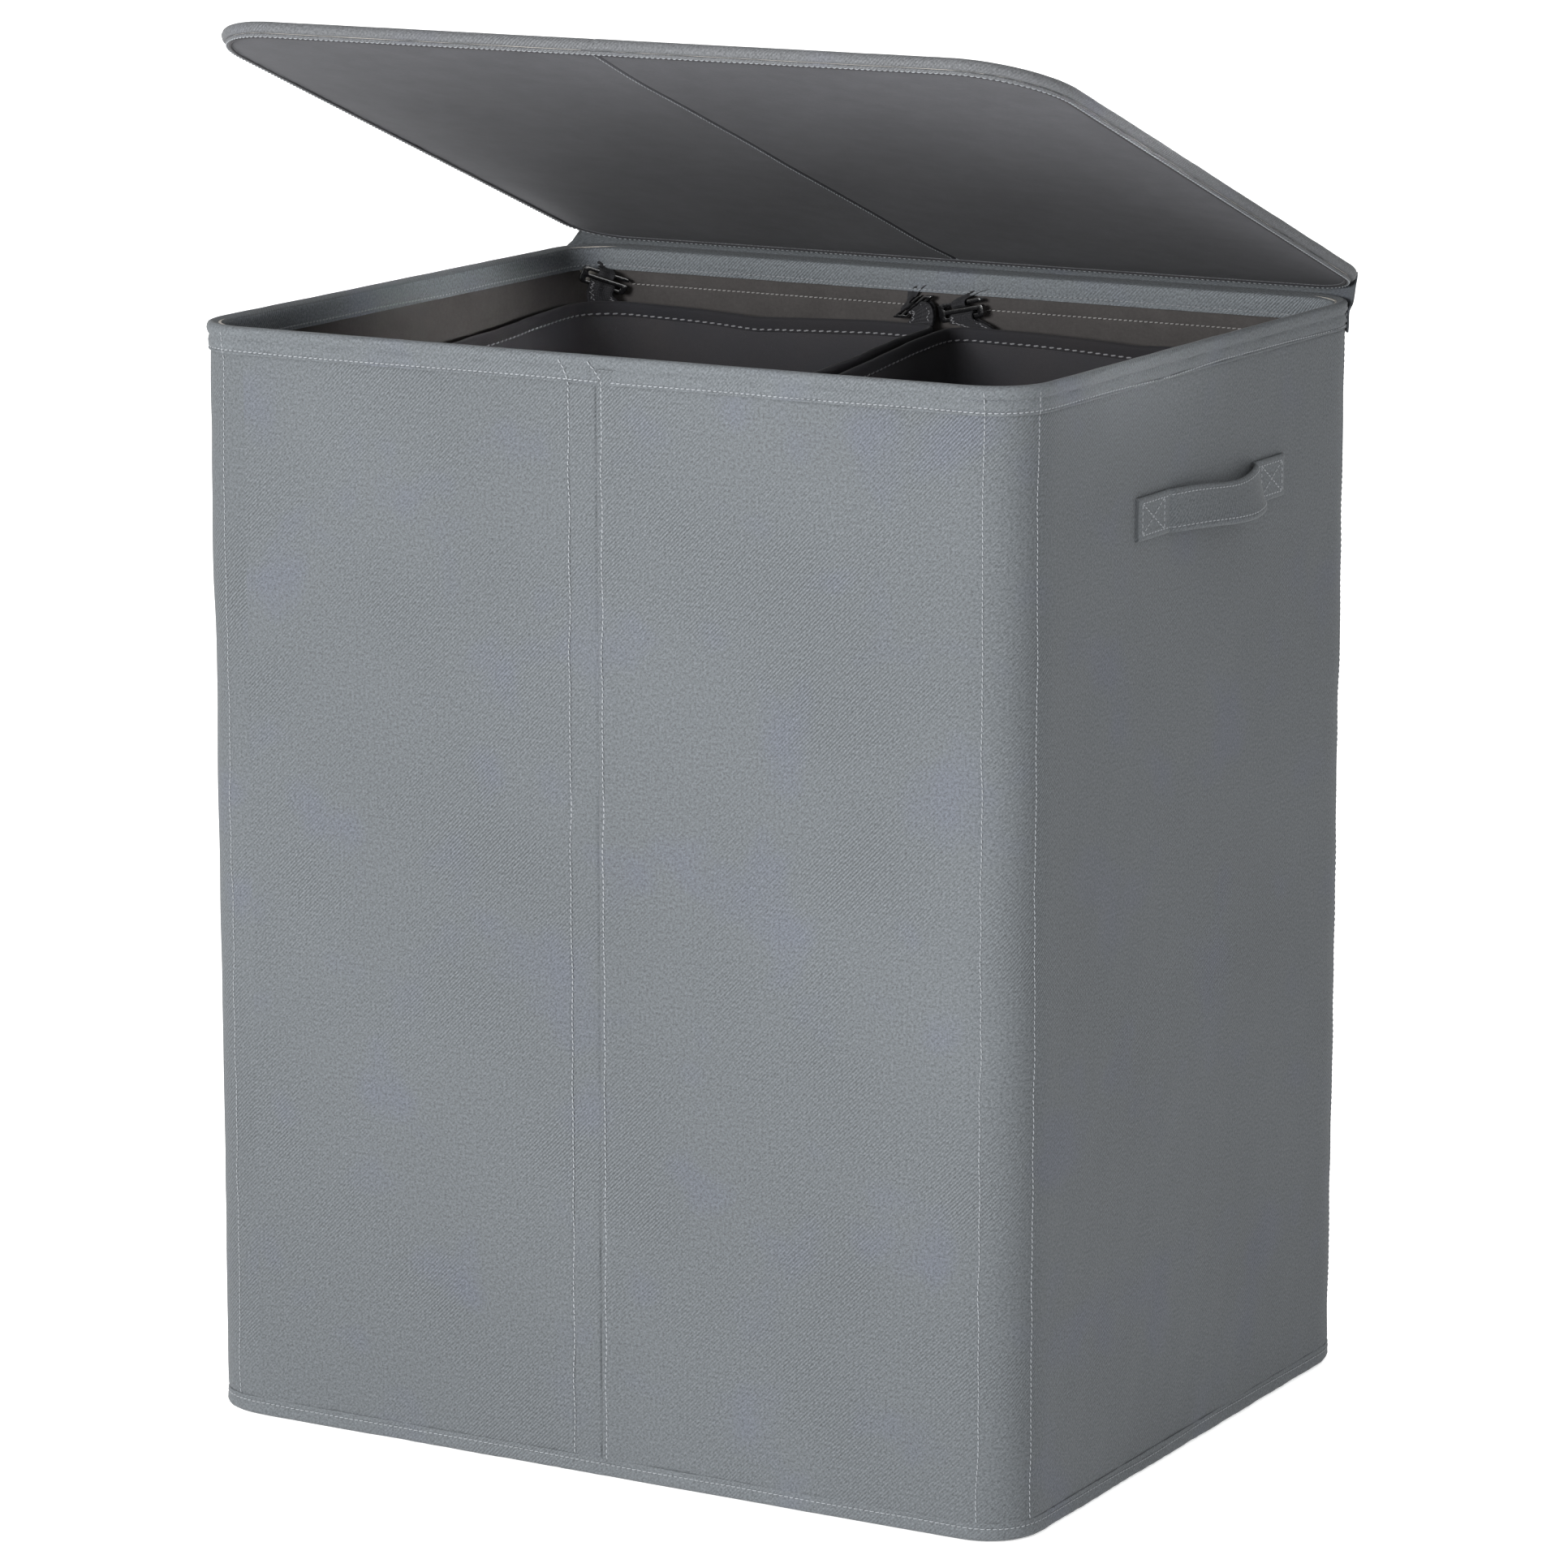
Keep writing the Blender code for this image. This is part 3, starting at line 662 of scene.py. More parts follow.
def build_rim():
    stations, _ = wall_outline()
    roll = [(out, -up) for out, up in arc_section((-0.0009, -0.0026), (0.0027, 0.0026), 0, 105, 10)]
    section = mm((0.4, 16.2)) + RIM_FACE + roll + RIM_OVER + RIM_BACK
    section = [(out, RIM_EDGE - depth) for out, depth in section]
    sheltered = len(section) - len(RIM_BACK)

    def relief(distance, stations, height):
        x = stations[:, 0]
        kink = groove(x - FOLD_STITCH - 0.005, 0.0004, 0.0016) + groove(x - 0.0005, 0.0006, 0.0016)
        full = 0.00016 * waves(distance, height[:1], 0.06, 21) + np.where(on_flat(stations), kink, 0.0)
        full = full + 0.0001 * waves(distance, 8 * height, 0.02, 22)
        full[sheltered:] = 0.0
        return full

    mesh = band("rim_binding", wall_outline(), section, relief)
    item = add_piece(mesh, "rim", "shell", ["top_binding"])
    # The inner leg gets the brighter copy of the rim's twill: painted light on the same tape, not a different
    # cloth.
    item.data.materials.append(MATERIALS["rim_leg_painted_light"])
    rows = np.arange(len(item.data.polygons)) // len(stations)
    painted_light_faces = (rows >= sheltered - INNER_LEG_ROWS) & (rows < sheltered)
    item.data.polygons.foreach_set("material_index", painted_light_faces.astype(np.int32))


def build_foot():
    section = arc_section((-0.0030, 0.0035), (0.0038, 0.0032), -88, -5, 9)
    section += mm((0.7, 5.0), (0.7, 6.5), (0.7, 7.8), (0.7, 9.0), (0.7, 10.2))
    section += mm((0.6, 11.0), (0.4, 11.3), (0.1, 11.2))
    back = mm((-0.2, 9.6), (-1.1, 9.4), (-1.1, 4.0), (-3.0, 1.3))

    def relief(distance, stations, height):
        ripple = 0.00018 * waves(distance, height, 0.05, 31) + 0.00012 * waves(distance, height, 0.012, 32)
        ripple = ripple + groove(height - FOOT_STITCH_Z, 0.00035, 0.0009)
        ripple[-len(back) :] = 0.0
        return ripple

    mesh = band("foot_binding", wall_outline(), section + back, relief)
    add_piece(mesh, "rim", "shell", ["bottom_binding"])


def build_lining():
    top = LINING_TOP - 0.0006
    heights = spread(LINING_BOTTOM, top, 0.012, ((LINING_STITCH_Z, 0.004, 0.0008),))
    back = [(-LINING_INSET, z) for z in (LINING_BOTTOM, 0.2, 0.45, top)]
    section = back + [(-LINING_INSET - CLOTH, z) for z in heights[::-1]]

    def relief(distance, stations, height):
        ripple = 0.00025 * waves(distance, height, 0.11, 41) + 0.00012 * waves(distance, height, 0.03, 42)
        sewn = groove(height - LINING_STITCH_Z, 0.0004, 0.0012)
        ripple = ripple - 0.0003 - np.where(stations[:, 3] > 0.99, sewn, 0.0)
        ripple[: len(back)] = 0.0
        ripple[height[:, 0] > RIM_TOP - 0.0160] = 0.0
        return ripple

    mesh = band("lining_cloth", wall_outline(step=0.008), section, relief)
    add_piece(mesh, "lining", "shell", ["lining"])


ARC_TURNS = (9, 18, 27, 37, 47, 57, 67, 76, 84, 90)


def plate_grid(half_x, low_y, high_y, radii, step, marks=()):
    """Columns of points over a rectangle with rounded front and rear corners: x and y of each point."""
    arcs = [half_x - radius + radius * math.sin(math.radians(turn)) for radius in radii for turn in ARC_TURNS]
    middle = half_x - max(radii)
    xs = np.array(sorted([-x for x in arcs] + spread(-middle, middle, step, marks) + arcs))
    xs = xs[np.concatenate([[True], np.diff(xs) > 1e-5])]
    insets = []
    for radius in radii:
        over = np.maximum(np.abs(xs) - (half_x - radius), 0)
        insets.append(radius - np.sqrt(np.maximum(radius**2 - over**2, 0)))
    share = np.linspace(0, 1, round((high_y - low_y) / step) + 1)[:, None]
    low, high = low_y + insets[0], high_y - insets[1]
    ys = low + share * (high - low)
    return np.broadcast_to(xs, ys.shape), ys


def slab(name, xs, ys, top, bottom):
    """A closed thin plate between two surfaces over the same grid."""
    rows, columns = xs.shape
    points = np.concatenate([path_of(xs, ys, height).reshape(-1, 3) for height in (top, bottom)])
    faces = grid_faces(rows, columns, False, False)[0]
    count = rows * columns
    edge = [*range(columns), *range(2 * columns - 1, count, columns)]
    edge += [*range(count - 2, count - columns - 1, -1), *range(count - 2 * columns, 0, -columns)]
    sides = [[a, a + count, b + count, b] for a, b in zip(edge, edge[1:] + edge[:1])]
    all_faces = faces.tolist() + (faces[:, ::-1] + count).tolist() + sides
    return mesh_of(name, points, all_faces, points[np.ravel(all_faces)][:, :2])


def build_base():
    inset = 0.0026
    xs, ys = plate_grid(WALL_X - inset, -WALL_Y + inset, WALL_Y - inset, (CORNER - inset,) * 2, 0.012)
    ripple = np.maximum(0.0002 * waves(xs, ys, 0.12, 51), -0.0002)
    mesh = slab("base_cloth", xs, ys, 0.0015, 0.0002 + ripple)
    add_piece(mesh, "cover", "shell", ["base_fabric"])


def wall_row(z, offset, thread=THREAD, facing=1.0):
    """A stitch row all round the wall, on its outside (1) or its inside (-1)."""
    stations, _ = wall_outline(step=0.004)
    wander = 0.0004 * waves(stations[:, 0], stations[:, 1], 0.15, 25)
    path = rings(stations, offset, z + wander)
    return stitch_row(closed(path), facing * closed(level_normals(stations)), thread=thread)


def upright_row(around, walk, heights):
    """A stitch row that climbs the wall and the rim at one distance round the wall, not quite straight."""
    places = walk + 0.0003 * waves(heights, heights * 0, 0.045, 26)
    here = sampled(closed(around[0]), around[1], places)
    low, high = wall_waviness(places, heights), rim_face(heights)
    offset = 0.0002 + low + (high - low) * on_rim(heights)
    return stitch_row(rings(here, offset, heights), level_normals(here), thread=0.00030)


def build_wall_stitches():
    inside = wall_row(RIM_TOP - 0.0130, -0.0080, facing=-1.0)
    sew("rim_stitches", [wall_row(HEM_STITCH_Z, 0.0008, 0.00036), inside])
    sew("foot_stitches", [wall_row(FOOT_STITCH_Z, 0.0007, 0.00028)])
    around = wall_outline()
    heights = np.linspace(COVER_BOTTOM + 0.001, RIM_TOP - 0.0035, 200)
    sew("corner_stitches", [upright_row(around, walk, heights) for walk in corner_rows(*around)])


def fold_rows(end):
    """Stitch rows of the fold band on the front (-1) or rear (+1) wall, leaning aside at the rim."""
    z = np.linspace(COVER_BOTTOM + 0.001, RIM_TOP - 0.0032, 260)
    rows = []
    for x, shift, rise in ((FOLD_STITCH, -0.0052, 0.0003), (FOLD_TOPSTITCH, -0.0082, 0.0011)):
        lean = shift * smooth(HEM_STITCH_Z - 0.001, RIM_TOP - 0.002, z)
        lean = lean + 0.0003 * waves(z, 0 * z, 0.03, 27)
        out = rise + (rim_face(z) + 0.0002 - rise) * on_rim(z)
        path = path_of(x + lean, end * (WALL_Y + out), z)
        rows.append(stitch_row(path, (0.0, end, 0.0), thread=0.0004))
    return rows


def build_fold_stitches():
    for name, end in ENDS:
        sew(f"fold_stitches_{name}", fold_rows(end))
    x = np.linspace(-WALL_X + CORNER, WALL_X - CORNER, 80)
    path = path_of(x, WALL_Y - LINING_INSET - CLOTH - 0.0004, LINING_STITCH_Z)
    row = stitch_row(path, (0.0, -1.0, 0.0), thread=0.00035)
    sew("lining_stitches", [row], "lining_thread")


# ---- lid ------------------------------------------------------------------------------------------
LID_MARKS = ((LID_SEAM, 0.0048, 0.0004),)


def on_lid(mesh, material, replaces=()):
    """A piece from a mesh made in the lid's own frame."""
    mesh.transform(LID_FRAME)
    add_piece(mesh, material, "lid", replaces)


def lid_puff(xs, ys, seed):
    """Soft relief over a lid skin, fading to nothing at its edge."""
    edge = np.minimum(LID_X - np.abs(xs), np.minimum(-ys, ys + LID_LENGTH))
    return smooth(0.006, 0.03, edge) * (1 + 0.5 * waves(xs, ys, 0.13, seed)) * 0.0005


def lid_under(xs, ys):
    """Height of the lid's lining, with the deep joint between its two halves."""
    return -LID_HALF + 0.0006 - 1.2 * lid_puff(xs, ys, 62) - groove(xs - LID_SEAM, 0.0015, 0.0007)


def build_lid_skins():
    inset = 0.0058
    radii = (LID_FRONT_CORNER - inset, LID_REAR_CORNER - inset)
    xs, ys = plate_grid(LID_X - inset, -LID_LENGTH + inset, -inset, radii, 0.008, LID_MARKS)
    top = LID_HALF - 0.0003 + lid_puff(xs, ys, 61) + groove(xs - LID_SEAM, 0.0009, 0.0010)
    on_lid(slab("lid_top_cloth", xs, ys, top, 0.0026), "lid_top", ["lid_cover"])
    lining = slab("lid_lining_cloth", xs, ys, -0.0016, lid_under(xs, ys))
    on_lid(lining, "lid_lining", ["lid_lining"])


def lid_outline(step=0.005):
    radii = (LID_FRONT_CORNER, LID_REAR_CORNER, LID_REAR_CORNER, LID_FRONT_CORNER)
    return outline((-LID_X, -LID_LENGTH), (LID_X, 0.0), radii, step, {FRONT: LID_MARKS})


def lid_roll_section():
    """Tape folded round the lid's edge: a stitched ridge, a round roll above it and a leg on both faces."""
    ridge = arc_section((-0.0040, -0.0031), (0.0012, 0.0012), -100, 40, 8)
    roll = arc_section((-0.0032, 0.0010), (0.0032, 0.0034), -58, 88, 15)
    top = mm((-5.2, 4.35), (-6.8, 4.2), (-8.0, 4.3), (-9.0, 4.15), (-9.4, 3.9))
    inner = mm((-9.4, 3.6), (-4.6, 3.4), (-3.0, 0.0), (-4.8, -1.6), (-7.2, -2.4))
    bottom = mm((-7.3, -3.2), (-6.8, -3.8), (-5.8, -4.0), (-5.0, -4.0))
    return ridge + mm((-3.6, -2.1)) + roll + top + inner + bottom


def build_lid_binding():
    def relief(distance, stations, height):
        ripple = 0.00012 * waves(distance, height, 0.05, 71)
        ripple = ripple + 0.00007 * waves(distance, 6 * height, 0.012, 72)
        kink = groove(stations[:, 0] - LID_SEAM, 0.0006, 0.0012)
        return ripple - 0.0003 + np.where(stations[:, 3] < -0.99, kink, 0.0)

    mesh = band("lid_binding", lid_outline(), lid_roll_section(), relief)
    on_lid(mesh, "lid_roll", ["lid_edge_binding"])
    # A thin band of dark hem cloth just below the stitched ridge: a painted shadow line along the lid's edge,
    # where there is only shade.
    shadow_bead = arc_section((-0.0061, -0.0039), (0.0009, 0.0006), -180, 150, 11)
    on_lid(band("lid_ridge_painted_shadow", lid_outline(), shadow_bead), "hem")


def lid_row(path, up, thread=THREAD):
    return stitch_row(moved(path, LID_FRAME), turned((0.0, 0.0, up), LID_FRAME), thread=thread)


def build_lid_stitches():
    stations, _ = lid_outline(step=0.004)
    rows = [lid_row(closed(rings(stations, -0.0082, 0.0044)), 1.0)]
    rows.append(lid_row(closed(rings(stations, -0.0038, -0.00425)), -1.0, 0.00034))
    sew("lid_stitches", rows, body="lid")
    y = np.linspace(-LID_LENGTH + 0.008, -0.010, 120)
    above = LID_HALF + 0.0002
    seams = [lid_row(path_of(LID_SEAM + side, y, above), 1.0, 0.00030) for side in (-0.0022, 0.0022)]
    under = LID_SEAM - 0.0018
    seams.append(lid_row(path_of(under, y, lid_under(under + 0 * y, y) - 0.0002), -1.0, 0.00030))
    sew("lid_seam_stitches", seams, body="lid")


HINGE_REACH = 0.262


def corner_curve(x, half, radius):
    """How far a rounded rectangle's edge lies inside its straight line at each x, and its outward normal."""
    over = np.clip(np.abs(x) - (half - radius), 0, radius)
    rise = np.sqrt(radius**2 - over**2)
    return rise - radius, np.sign(x) * over / radius, rise / radius


def hinge_lines(xs):
    """Lines along the hinge cloth, from its edge on the rear wall up to its edge on the lid."""
    lines = []
    back, nx, ny = corner_curve(xs, WALL_X, CORNER)
    crown = CORNER_CROWN * (2 * nx * ny) ** 2
    for out, z in mm((1.9, 620.5), (2.2, 625.0), (2.4, 633.0), (4.6, 638.5)):
        lines.append(path_of(xs + nx * (out + crown), WALL_Y + back + ny * (out + crown), z))
    back, nx, ny = corner_curve(xs, LID_X, LID_REAR_CORNER)
    for out, z in mm((0.9, -3.0), (1.0, 1.0), (0.6, 4.6)):
        lines.append(moved(path_of(xs + nx * out, back + ny * out, z), LID_FRAME))
    return np.array(lines)


def build_hinge_strip():
    """Cloth strip sewn to the rear wall and the lid's rear edge, round into the corners."""
    xs = np.array(spread(-HINGE_REACH, HINGE_REACH, 0.006))
    lines = hinge_lines(xs)
    sheet = np.stack([curve_through(lines[:, column], 40) for column in range(len(xs))], axis=1)
    sheet[:, :, 1] += 0.0001 * waves(sheet[:, :, 0], sheet[:, :, 2], 0.03, 81)
    half = 0.00055 * unit(np.cross(np.gradient(sheet, axis=1), np.gradient(sheet, axis=0)))
    points = np.concatenate([sheet + half, (sheet - half)[::-1]])
    across = walked(closed(points[:, 0]))
    mesh = grid_mesh("hinge_strip", points, xs + HINGE_REACH, across, wrap_rows=True, caps=True)
    item = add_piece(mesh, "rim", None, ["wall_hinge_tape", "lid_hinge_tape"])
    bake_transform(item)
    x = np.linspace(-0.225, 0.225, 90)
    rows = [stitch_row(path_of(x, WALL_Y + 0.0030, z), (0.0, 1.0, 0.0)) for z in (0.6222, 0.6262)]
    sew("hinge_stitches", rows)


# ---- liner bags -----------------------------------------------------------------------------------
def bag_outline(side):
    low, high = (BAG_HALF_GAP, -WALL_Y + BAG_GAP), (WALL_X - BAG_GAP, WALL_Y - BAG_GAP)
    stations, _ = outline(low, high, (BAG_OUTER, BAG_OUTER, BAG_INNER, BAG_INNER), 0.006, {})
    if side < 0:
        stations = stations[::-1] * np.array((-1, 1, -1, 1))
    return stations, walked(closed(stations[:, :2]))


def clip_spots():
    """For each clip: its bag's side, its point on the hem's outer face, its outward direction and how far the
    wall's lining stands off that point."""
    hem = 0.0020
    turn = math.radians(53.0)
    spots = {}
    for name, side in SIDES:
        for face, end in ENDS:
            outward = Vector((side * math.cos(turn), end * math.sin(turn), 0))
            centre = Vector((side * (WALL_X - BAG_GAP - BAG_OUTER), end * (WALL_Y - BAG_GAP - BAG_OUTER), 0))
            spots[f"{name}_{face}_outer"] = (side, centre + outward * (BAG_OUTER + hem), outward, 0.0122)
            point = Vector((side * 0.0215, end * (WALL_Y - BAG_GAP + hem), 0))
            spots[f"{name}_{face}_centre"] = (side, point, Vector((0, end, 0)), 0.0073)
    return spots


def held(stations, side):
    """1 where the bag's edge hangs from a clip, falling to 0 half way between clips, in plan distance."""
    near = np.full(len(stations), 1.0)
    for spot_side, point, _, _ in clip_spots().values():
        if spot_side == side:
            gap = np.hypot(stations[:, 0] - point.x, stations[:, 1] - point.y)
            near = np.minimum(near, gap / 0.20)
    return 1 - smooth(0.05, 1.0, near)


def bag_top(stations, side):
    """Height of the bag's edge: full at its clips and sagging between them, most along the middle."""
    drop = 0.006 * (1 - held(stations, side))
    middle = np.abs(stations[:, 0]) < 0.02
    return LINER_TOP - drop * np.where(middle, 2.1, 1.0)


def bag_shift(stations, distance, side, share):
    """Folds of the hanging cloth. Share is 0 at the bag's bottom and 1 at its edge."""
    slack = 1 - held(stations, side)[None]
    walk, up = distance[:-1][None], share * (LINER_TOP - LINER_BOTTOM)
    folds = 0.0011 * waves(walk, 0.25 * up, 0.085, 91 + side) + 0.0006 * waves(walk, up, 0.045, 95 + side)
    side_wall = np.abs(stations[:, 2]) * (np.abs(stations[:, 0]) > 0.1)
    belly = -(0.0035 + 0.006 * side_wall) * slack * smooth(0.6, 1.0, share)
    return -0.0013 + folds * (0.35 + 0.65 * slack) + belly


def facing_pair(stations):
    """True where a bag faces the other one."""
    return np.abs(stations[:, 0]) < BAG_HALF_GAP + 0.012


def inner_limit(stations):
    """Most the cloth may move outward at each station: the two bags only just touch each other."""
    return np.where(facing_pair(stations), 0.0004, 0.004)[None]


def bag_points(stations, distance, side, share, inset):
    top = bag_top(stations, side)[None] - 0.002
    rounding = -0.012 * (1 - smooth(0.0, 0.035, share)) ** 2
    shift = np.minimum(bag_shift(stations, distance, side, share), inner_limit(stations))
    return rings(stations, shift + rounding - inset, LINER_BOTTOM + share * (top - LINER_BOTTOM))


def bag_floor(edge, centre, height, shares):
    """Rings that close the bag's bottom towards its centre."""
    out = centre + (edge - centre) * shares[:, None, None]
    fade = 1 - shares[:, None] ** 4
    out[..., 2] = height + 0.0012 * waves(out[..., 0], out[..., 1], 0.09, 99) * fade
    return out


def build_bags():
    for name, side in SIDES:
        stations, distance = bag_outline(side)
        share = np.array(spread(0.0, 1.0, 0.016))[:, None]
        outside = bag_points(stations, distance, side, share, 0.0)
        inside = bag_points(stations, distance, side, share[::-1], 0.0008)
        centre = np.array((side * (WALL_X - BAG_GAP + BAG_HALF_GAP) / 2, 0.0, 0.0))
        shrink = np.array((0.03, 0.25, 0.5, 0.75, 0.93))
        under = bag_floor(outside[0], centre, LINER_BOTTOM + 0.0016, shrink)
        over = bag_floor(inside[-1], centre, LINER_BOTTOM + 0.0026, shrink[::-1])
        inside[-1, :, 2] += 0.0008
        points = np.concatenate([under, outside, inside, over])
        mesh = grid_mesh(f"bag_{name}", points, distance, walked(points[:, 0]), wrap_columns=True, caps=True)
        add_piece(mesh, "liner", f"liner_{name}", [f"liner_{name}_bag"])
        build_hem(name, side, stations, distance)


# Drop below the bag's edge, and how much of the hem's thickness there: down its outside and its inside.
HEM_OUTER = ((-0.0215, 0.35), (-0.0210, 0.85), (-0.0185, 0.75), (-0.014, 0.9), (-0.009, 0.95))
HEM_OUTER += ((-0.005, 1.0), (-0.0025, 1.15))
HEM_INNER = ((-0.0022, 1.2), (-0.0045, 1.0), (-0.0060, 0.95), (-0.0070, 0.75), (-0.0080, 1.0), (-0.0084, 0.6))
# The hem's hidden back, which wraps the top of the bag's cloth.
HEM_BACK = mm((-0.9, -8.4), (-0.9, -3.0), (0.1, -3.0), (0.1, -21.3))
HEM_INSIDE = 0.0022


def hem_section(outer):
    """The turned edge doubled over a cord, as (offset, height) from the top of the bag's cloth."""
    rows = [(outer * bulge, drop) for drop, bulge in HEM_OUTER]
    for angle in np.radians(np.linspace(20, 160, 8)):
        roll = (outer - HEM_INSIDE) / 2 + (outer + HEM_INSIDE) / 2 * 1.2 * math.cos(angle)
        rows.append((roll, -0.0012 + 0.0018 * math.sin(angle)))
    return rows + [(-HEM_INSIDE * bulge, drop) for drop, bulge in HEM_INNER] + HEM_BACK


def build_hem(name, side, stations, distance):
    """The bag's edge, with a stitch row along its lower side inside and out."""
    top = bag_top(stations, side)[None]
    base = np.minimum(bag_shift(stations, distance, side, np.ones((1, 1))), inner_limit(stations))
    outer = np.where(facing_pair(stations), 0.0007, 0.0017)[None]
    section = hem_section(outer)
    offset = np.concatenate([base + out for out, _ in section])
    offset[7:15] += 0.00015 * waves(distance[:-1], distance[:-1] * 0, 0.02, 101 + side)
    points = rings(stations, offset, np.concatenate([top + drop for _, drop in section]))
    across = walked(closed(points[:, 0]))
    mesh = grid_mesh(f"hem_{name}", points, distance, across, wrap_rows=True, wrap_columns=True)
    add_piece(mesh, "hem", f"liner_{name}", [f"liner_{name}_hem"])
    rows = []
    for out, drop, facing in ((-0.0021, -0.0070, -1.0), (outer * 0.80, -0.0185, 1.0)):
        path = rings(stations, base + out, top + drop)[0]
        normals = facing * closed(level_normals(stations))
        rows.append(stitch_row(closed(path), normals, 0.0034, 0.0018, 0.00046))
    sew(f"hem_stitches_{name}", rows, "dark_thread", f"liner_{name}")


# ---- clips and webbing ----------------------------------------------------------------------------
CLIP_MIDDLE = 0.013
CLIP_HALF = 0.015
CLIP_LOW, CLIP_HIGH = 0.007, 0.019
CLIP_THICK = 0.0038
CLIP_SLOT = 0.01125


def spot_matrix(point, outward):
    """Frame at a clip: X sideways, Y outward to the wall, Z up, with its origin at the top of the hem."""
    sideways = outward.cross(Vector((0, 0, 1)))
    rows = (
        (sideways.x, outward.x, 0, point.x),
        (sideways.y, outward.y, 0, point.y),
        (0, 0, 1, LINER_TOP),
        (0, 0, 0, 1),
    )
    return Matrix(rows)


def leaning(points, tilt, shift=0.0, rigid=False):
    """Turns points about the clip's middle by tilt degrees and shifts them sideways, in full at the clip."""
    points = np.array(points, float)
    z = points[..., 2]
    share = np.ones_like(z) if rigid else smooth(-0.002, 0.0070, z) * (1 - smooth(0.0185, 0.0250, z))
    angle = math.radians(tilt) * share
    x, up = points[..., 0], z - CLIP_MIDDLE
    points[..., 0] = x * np.cos(angle) - up * np.sin(angle) + shift * share
    points[..., 2] = CLIP_MIDDLE + x * np.sin(angle) + up * np.cos(angle)
    return points


def rounded_loop(low, high, radius, steps=5):
    """Counterclockwise (x, z) points of a rectangle with round corners."""
    points = []
    for index, (x, z) in enumerate(((high[0], low[1]), high, (low[0], high[1]), low)):
        side_x, side_z = (-1 if x > 0 else 1), (1 if index in (0, 3) else -1)
        centre = (x + side_x * radius, z + side_z * radius)
        points += arc_section(centre, (radius, radius), -90 + 90 * index, 90 * index, steps)
    return points


def clip_outline():
    """Outline of the hook from the front, with its upper slot open at one end for the loop."""
    low_slot, high_slot = CLIP_HIGH - 0.0047, CLIP_HIGH - 0.0025
    outer = rounded_loop((-CLIP_HALF, CLIP_LOW), (CLIP_HALF, CLIP_HIGH), 0.0024)
    outer = [(x, z) for x, z in outer if x <= CLIP_HALF - 0.0001 or not low_slot < z < high_slot]
    lips = ((0.0, 0.0010), (0.0006, 0.0002), (0.0012, 0.0))
    mouth = [(CLIP_HALF - inset, low_slot - drop) for inset, drop in lips]
    mouth += arc_section((-CLIP_SLOT + 0.0011, low_slot + 0.0011), (0.0011, 0.0011), 270, 90, 7)
    mouth += [(CLIP_HALF - 0.0012, high_slot), (CLIP_HALF - 0.0006, high_slot + 0.0002)]
    mouth.append((CLIP_HALF, high_slot + 0.0008))
    above = [z > high_slot - 0.0001 for _, z in outer].index(True)
    return outer[:above] + mouth + outer[above:]


def clip_mesh(name):
    """Flat moulded hook: a closed slot below for the strap and an open one above for the loop."""
    hole = rounded_loop((-CLIP_SLOT, CLIP_LOW + 0.0025), (CLIP_SLOT, CLIP_LOW + 0.0047), 0.0009)
    builder = bmesh.new()
    edges = []
    for points in (clip_outline(), hole):
        corners = [builder.verts.new((x, 0.0, z)) for x, z in points]
        edges += [builder.edges.new(pair) for pair in zip(corners, corners[1:] + corners[:1])]
    filled = bmesh.ops.triangle_fill(builder, use_beauty=True, use_dissolve=False, edges=edges)
    faces = [item for item in filled["geom"] if isinstance(item, bmesh.types.BMFace)]
    raised = bmesh.ops.extrude_face_region(builder, geom=faces)
    tops = [item for item in raised["geom"] if isinstance(item, bmesh.types.BMVert)]
    bmesh.ops.translate(builder, verts=tops, vec=(0, CLIP_THICK, 0))
    bmesh.ops.recalc_face_normals(builder, faces=builder.faces)
    rim = [edge for edge in builder.edges if abs(edge.verts[0].co.y - edge.verts[1].co.y) < 1e-6]
    rim = [edge for edge in rim if edge.calc_face_angle(0.0) > 1.0]
    rounding = {"offset": 0.0007, "segments": 3, "profile": 0.5, "clamp_overlap": True}
    bmesh.ops.bevel(builder, geom=rim, affect="EDGES", **rounding)
    mesh = bpy.data.meshes.new(name)
    builder.to_mesh(mesh)
    builder.free()
    mesh.shade_smooth()
    return mesh


def strap_path(points, count):
    """Webbing route given as (outward, up) pairs, in a clip's frame."""
    return curve_through([(0.0, out, up) for out, up in points], count)


def webbing_mesh(name, route, matrix, tilt, shift, pinch):
    path = strap_path(route, 44)
    outward = plan_normals(path, (1, 0, 0))
    section = flat_section(0.020, 0.0010, 0.00018, 20)

    def settle(points):
        near = smooth(0.0, 0.006, points[..., 2]) * (1 - smooth(0.0205, 0.0250, points[..., 2]))
        points[..., 0] *= 1 + (pinch - 1) * near
        points[..., 1] += 0.0006 * near * np.sin(points[..., 0] * TAU / 0.008)
        return moved(leaning(points, tilt, shift), matrix)

    return sweep(name, path, outward, (1, 0, 0), section, settle)


def zigzag(route, matrix, tilt, shift, start, end, facing):
    """Zigzag stitching near both edges of a webbing, from start to end as shares of its length."""
    path = strap_path(route, 400)
    lengths = walked(path)
    rows = []
    for edge in (-0.0060, 0.0060):
        spots = np.arange(start * lengths[-1], end * lengths[-1], 0.0011)
        track = sampled(path, lengths, spots)
        track[:, 0] = edge + 0.0011 * np.where(np.arange(len(spots)) % 2, 1, -1)
        track[:, 1] += facing * 0.00055
        track = moved(leaning(track, tilt, shift), matrix)
        normals = turned((0.0, facing, 0.0), matrix)
        rows.append(stitch_row(track, normals, length=0.0019, space=0.0003, thread=0.00026, slant=0.0))
    return rows


# Webbing routes as (outward, up) in a clip's frame. The strap is sewn to the bag's hem at both ends.
STRAP_ROUTE = mm((1.0, -19.0), (1.0, 0.0), (4.2, 5.0), (4.6, 10.0), (1.8, 10.9), (-0.9, 9.6), (-1.3, 6.0))
STRAP_ROUTE += mm((-0.9, -1.0))


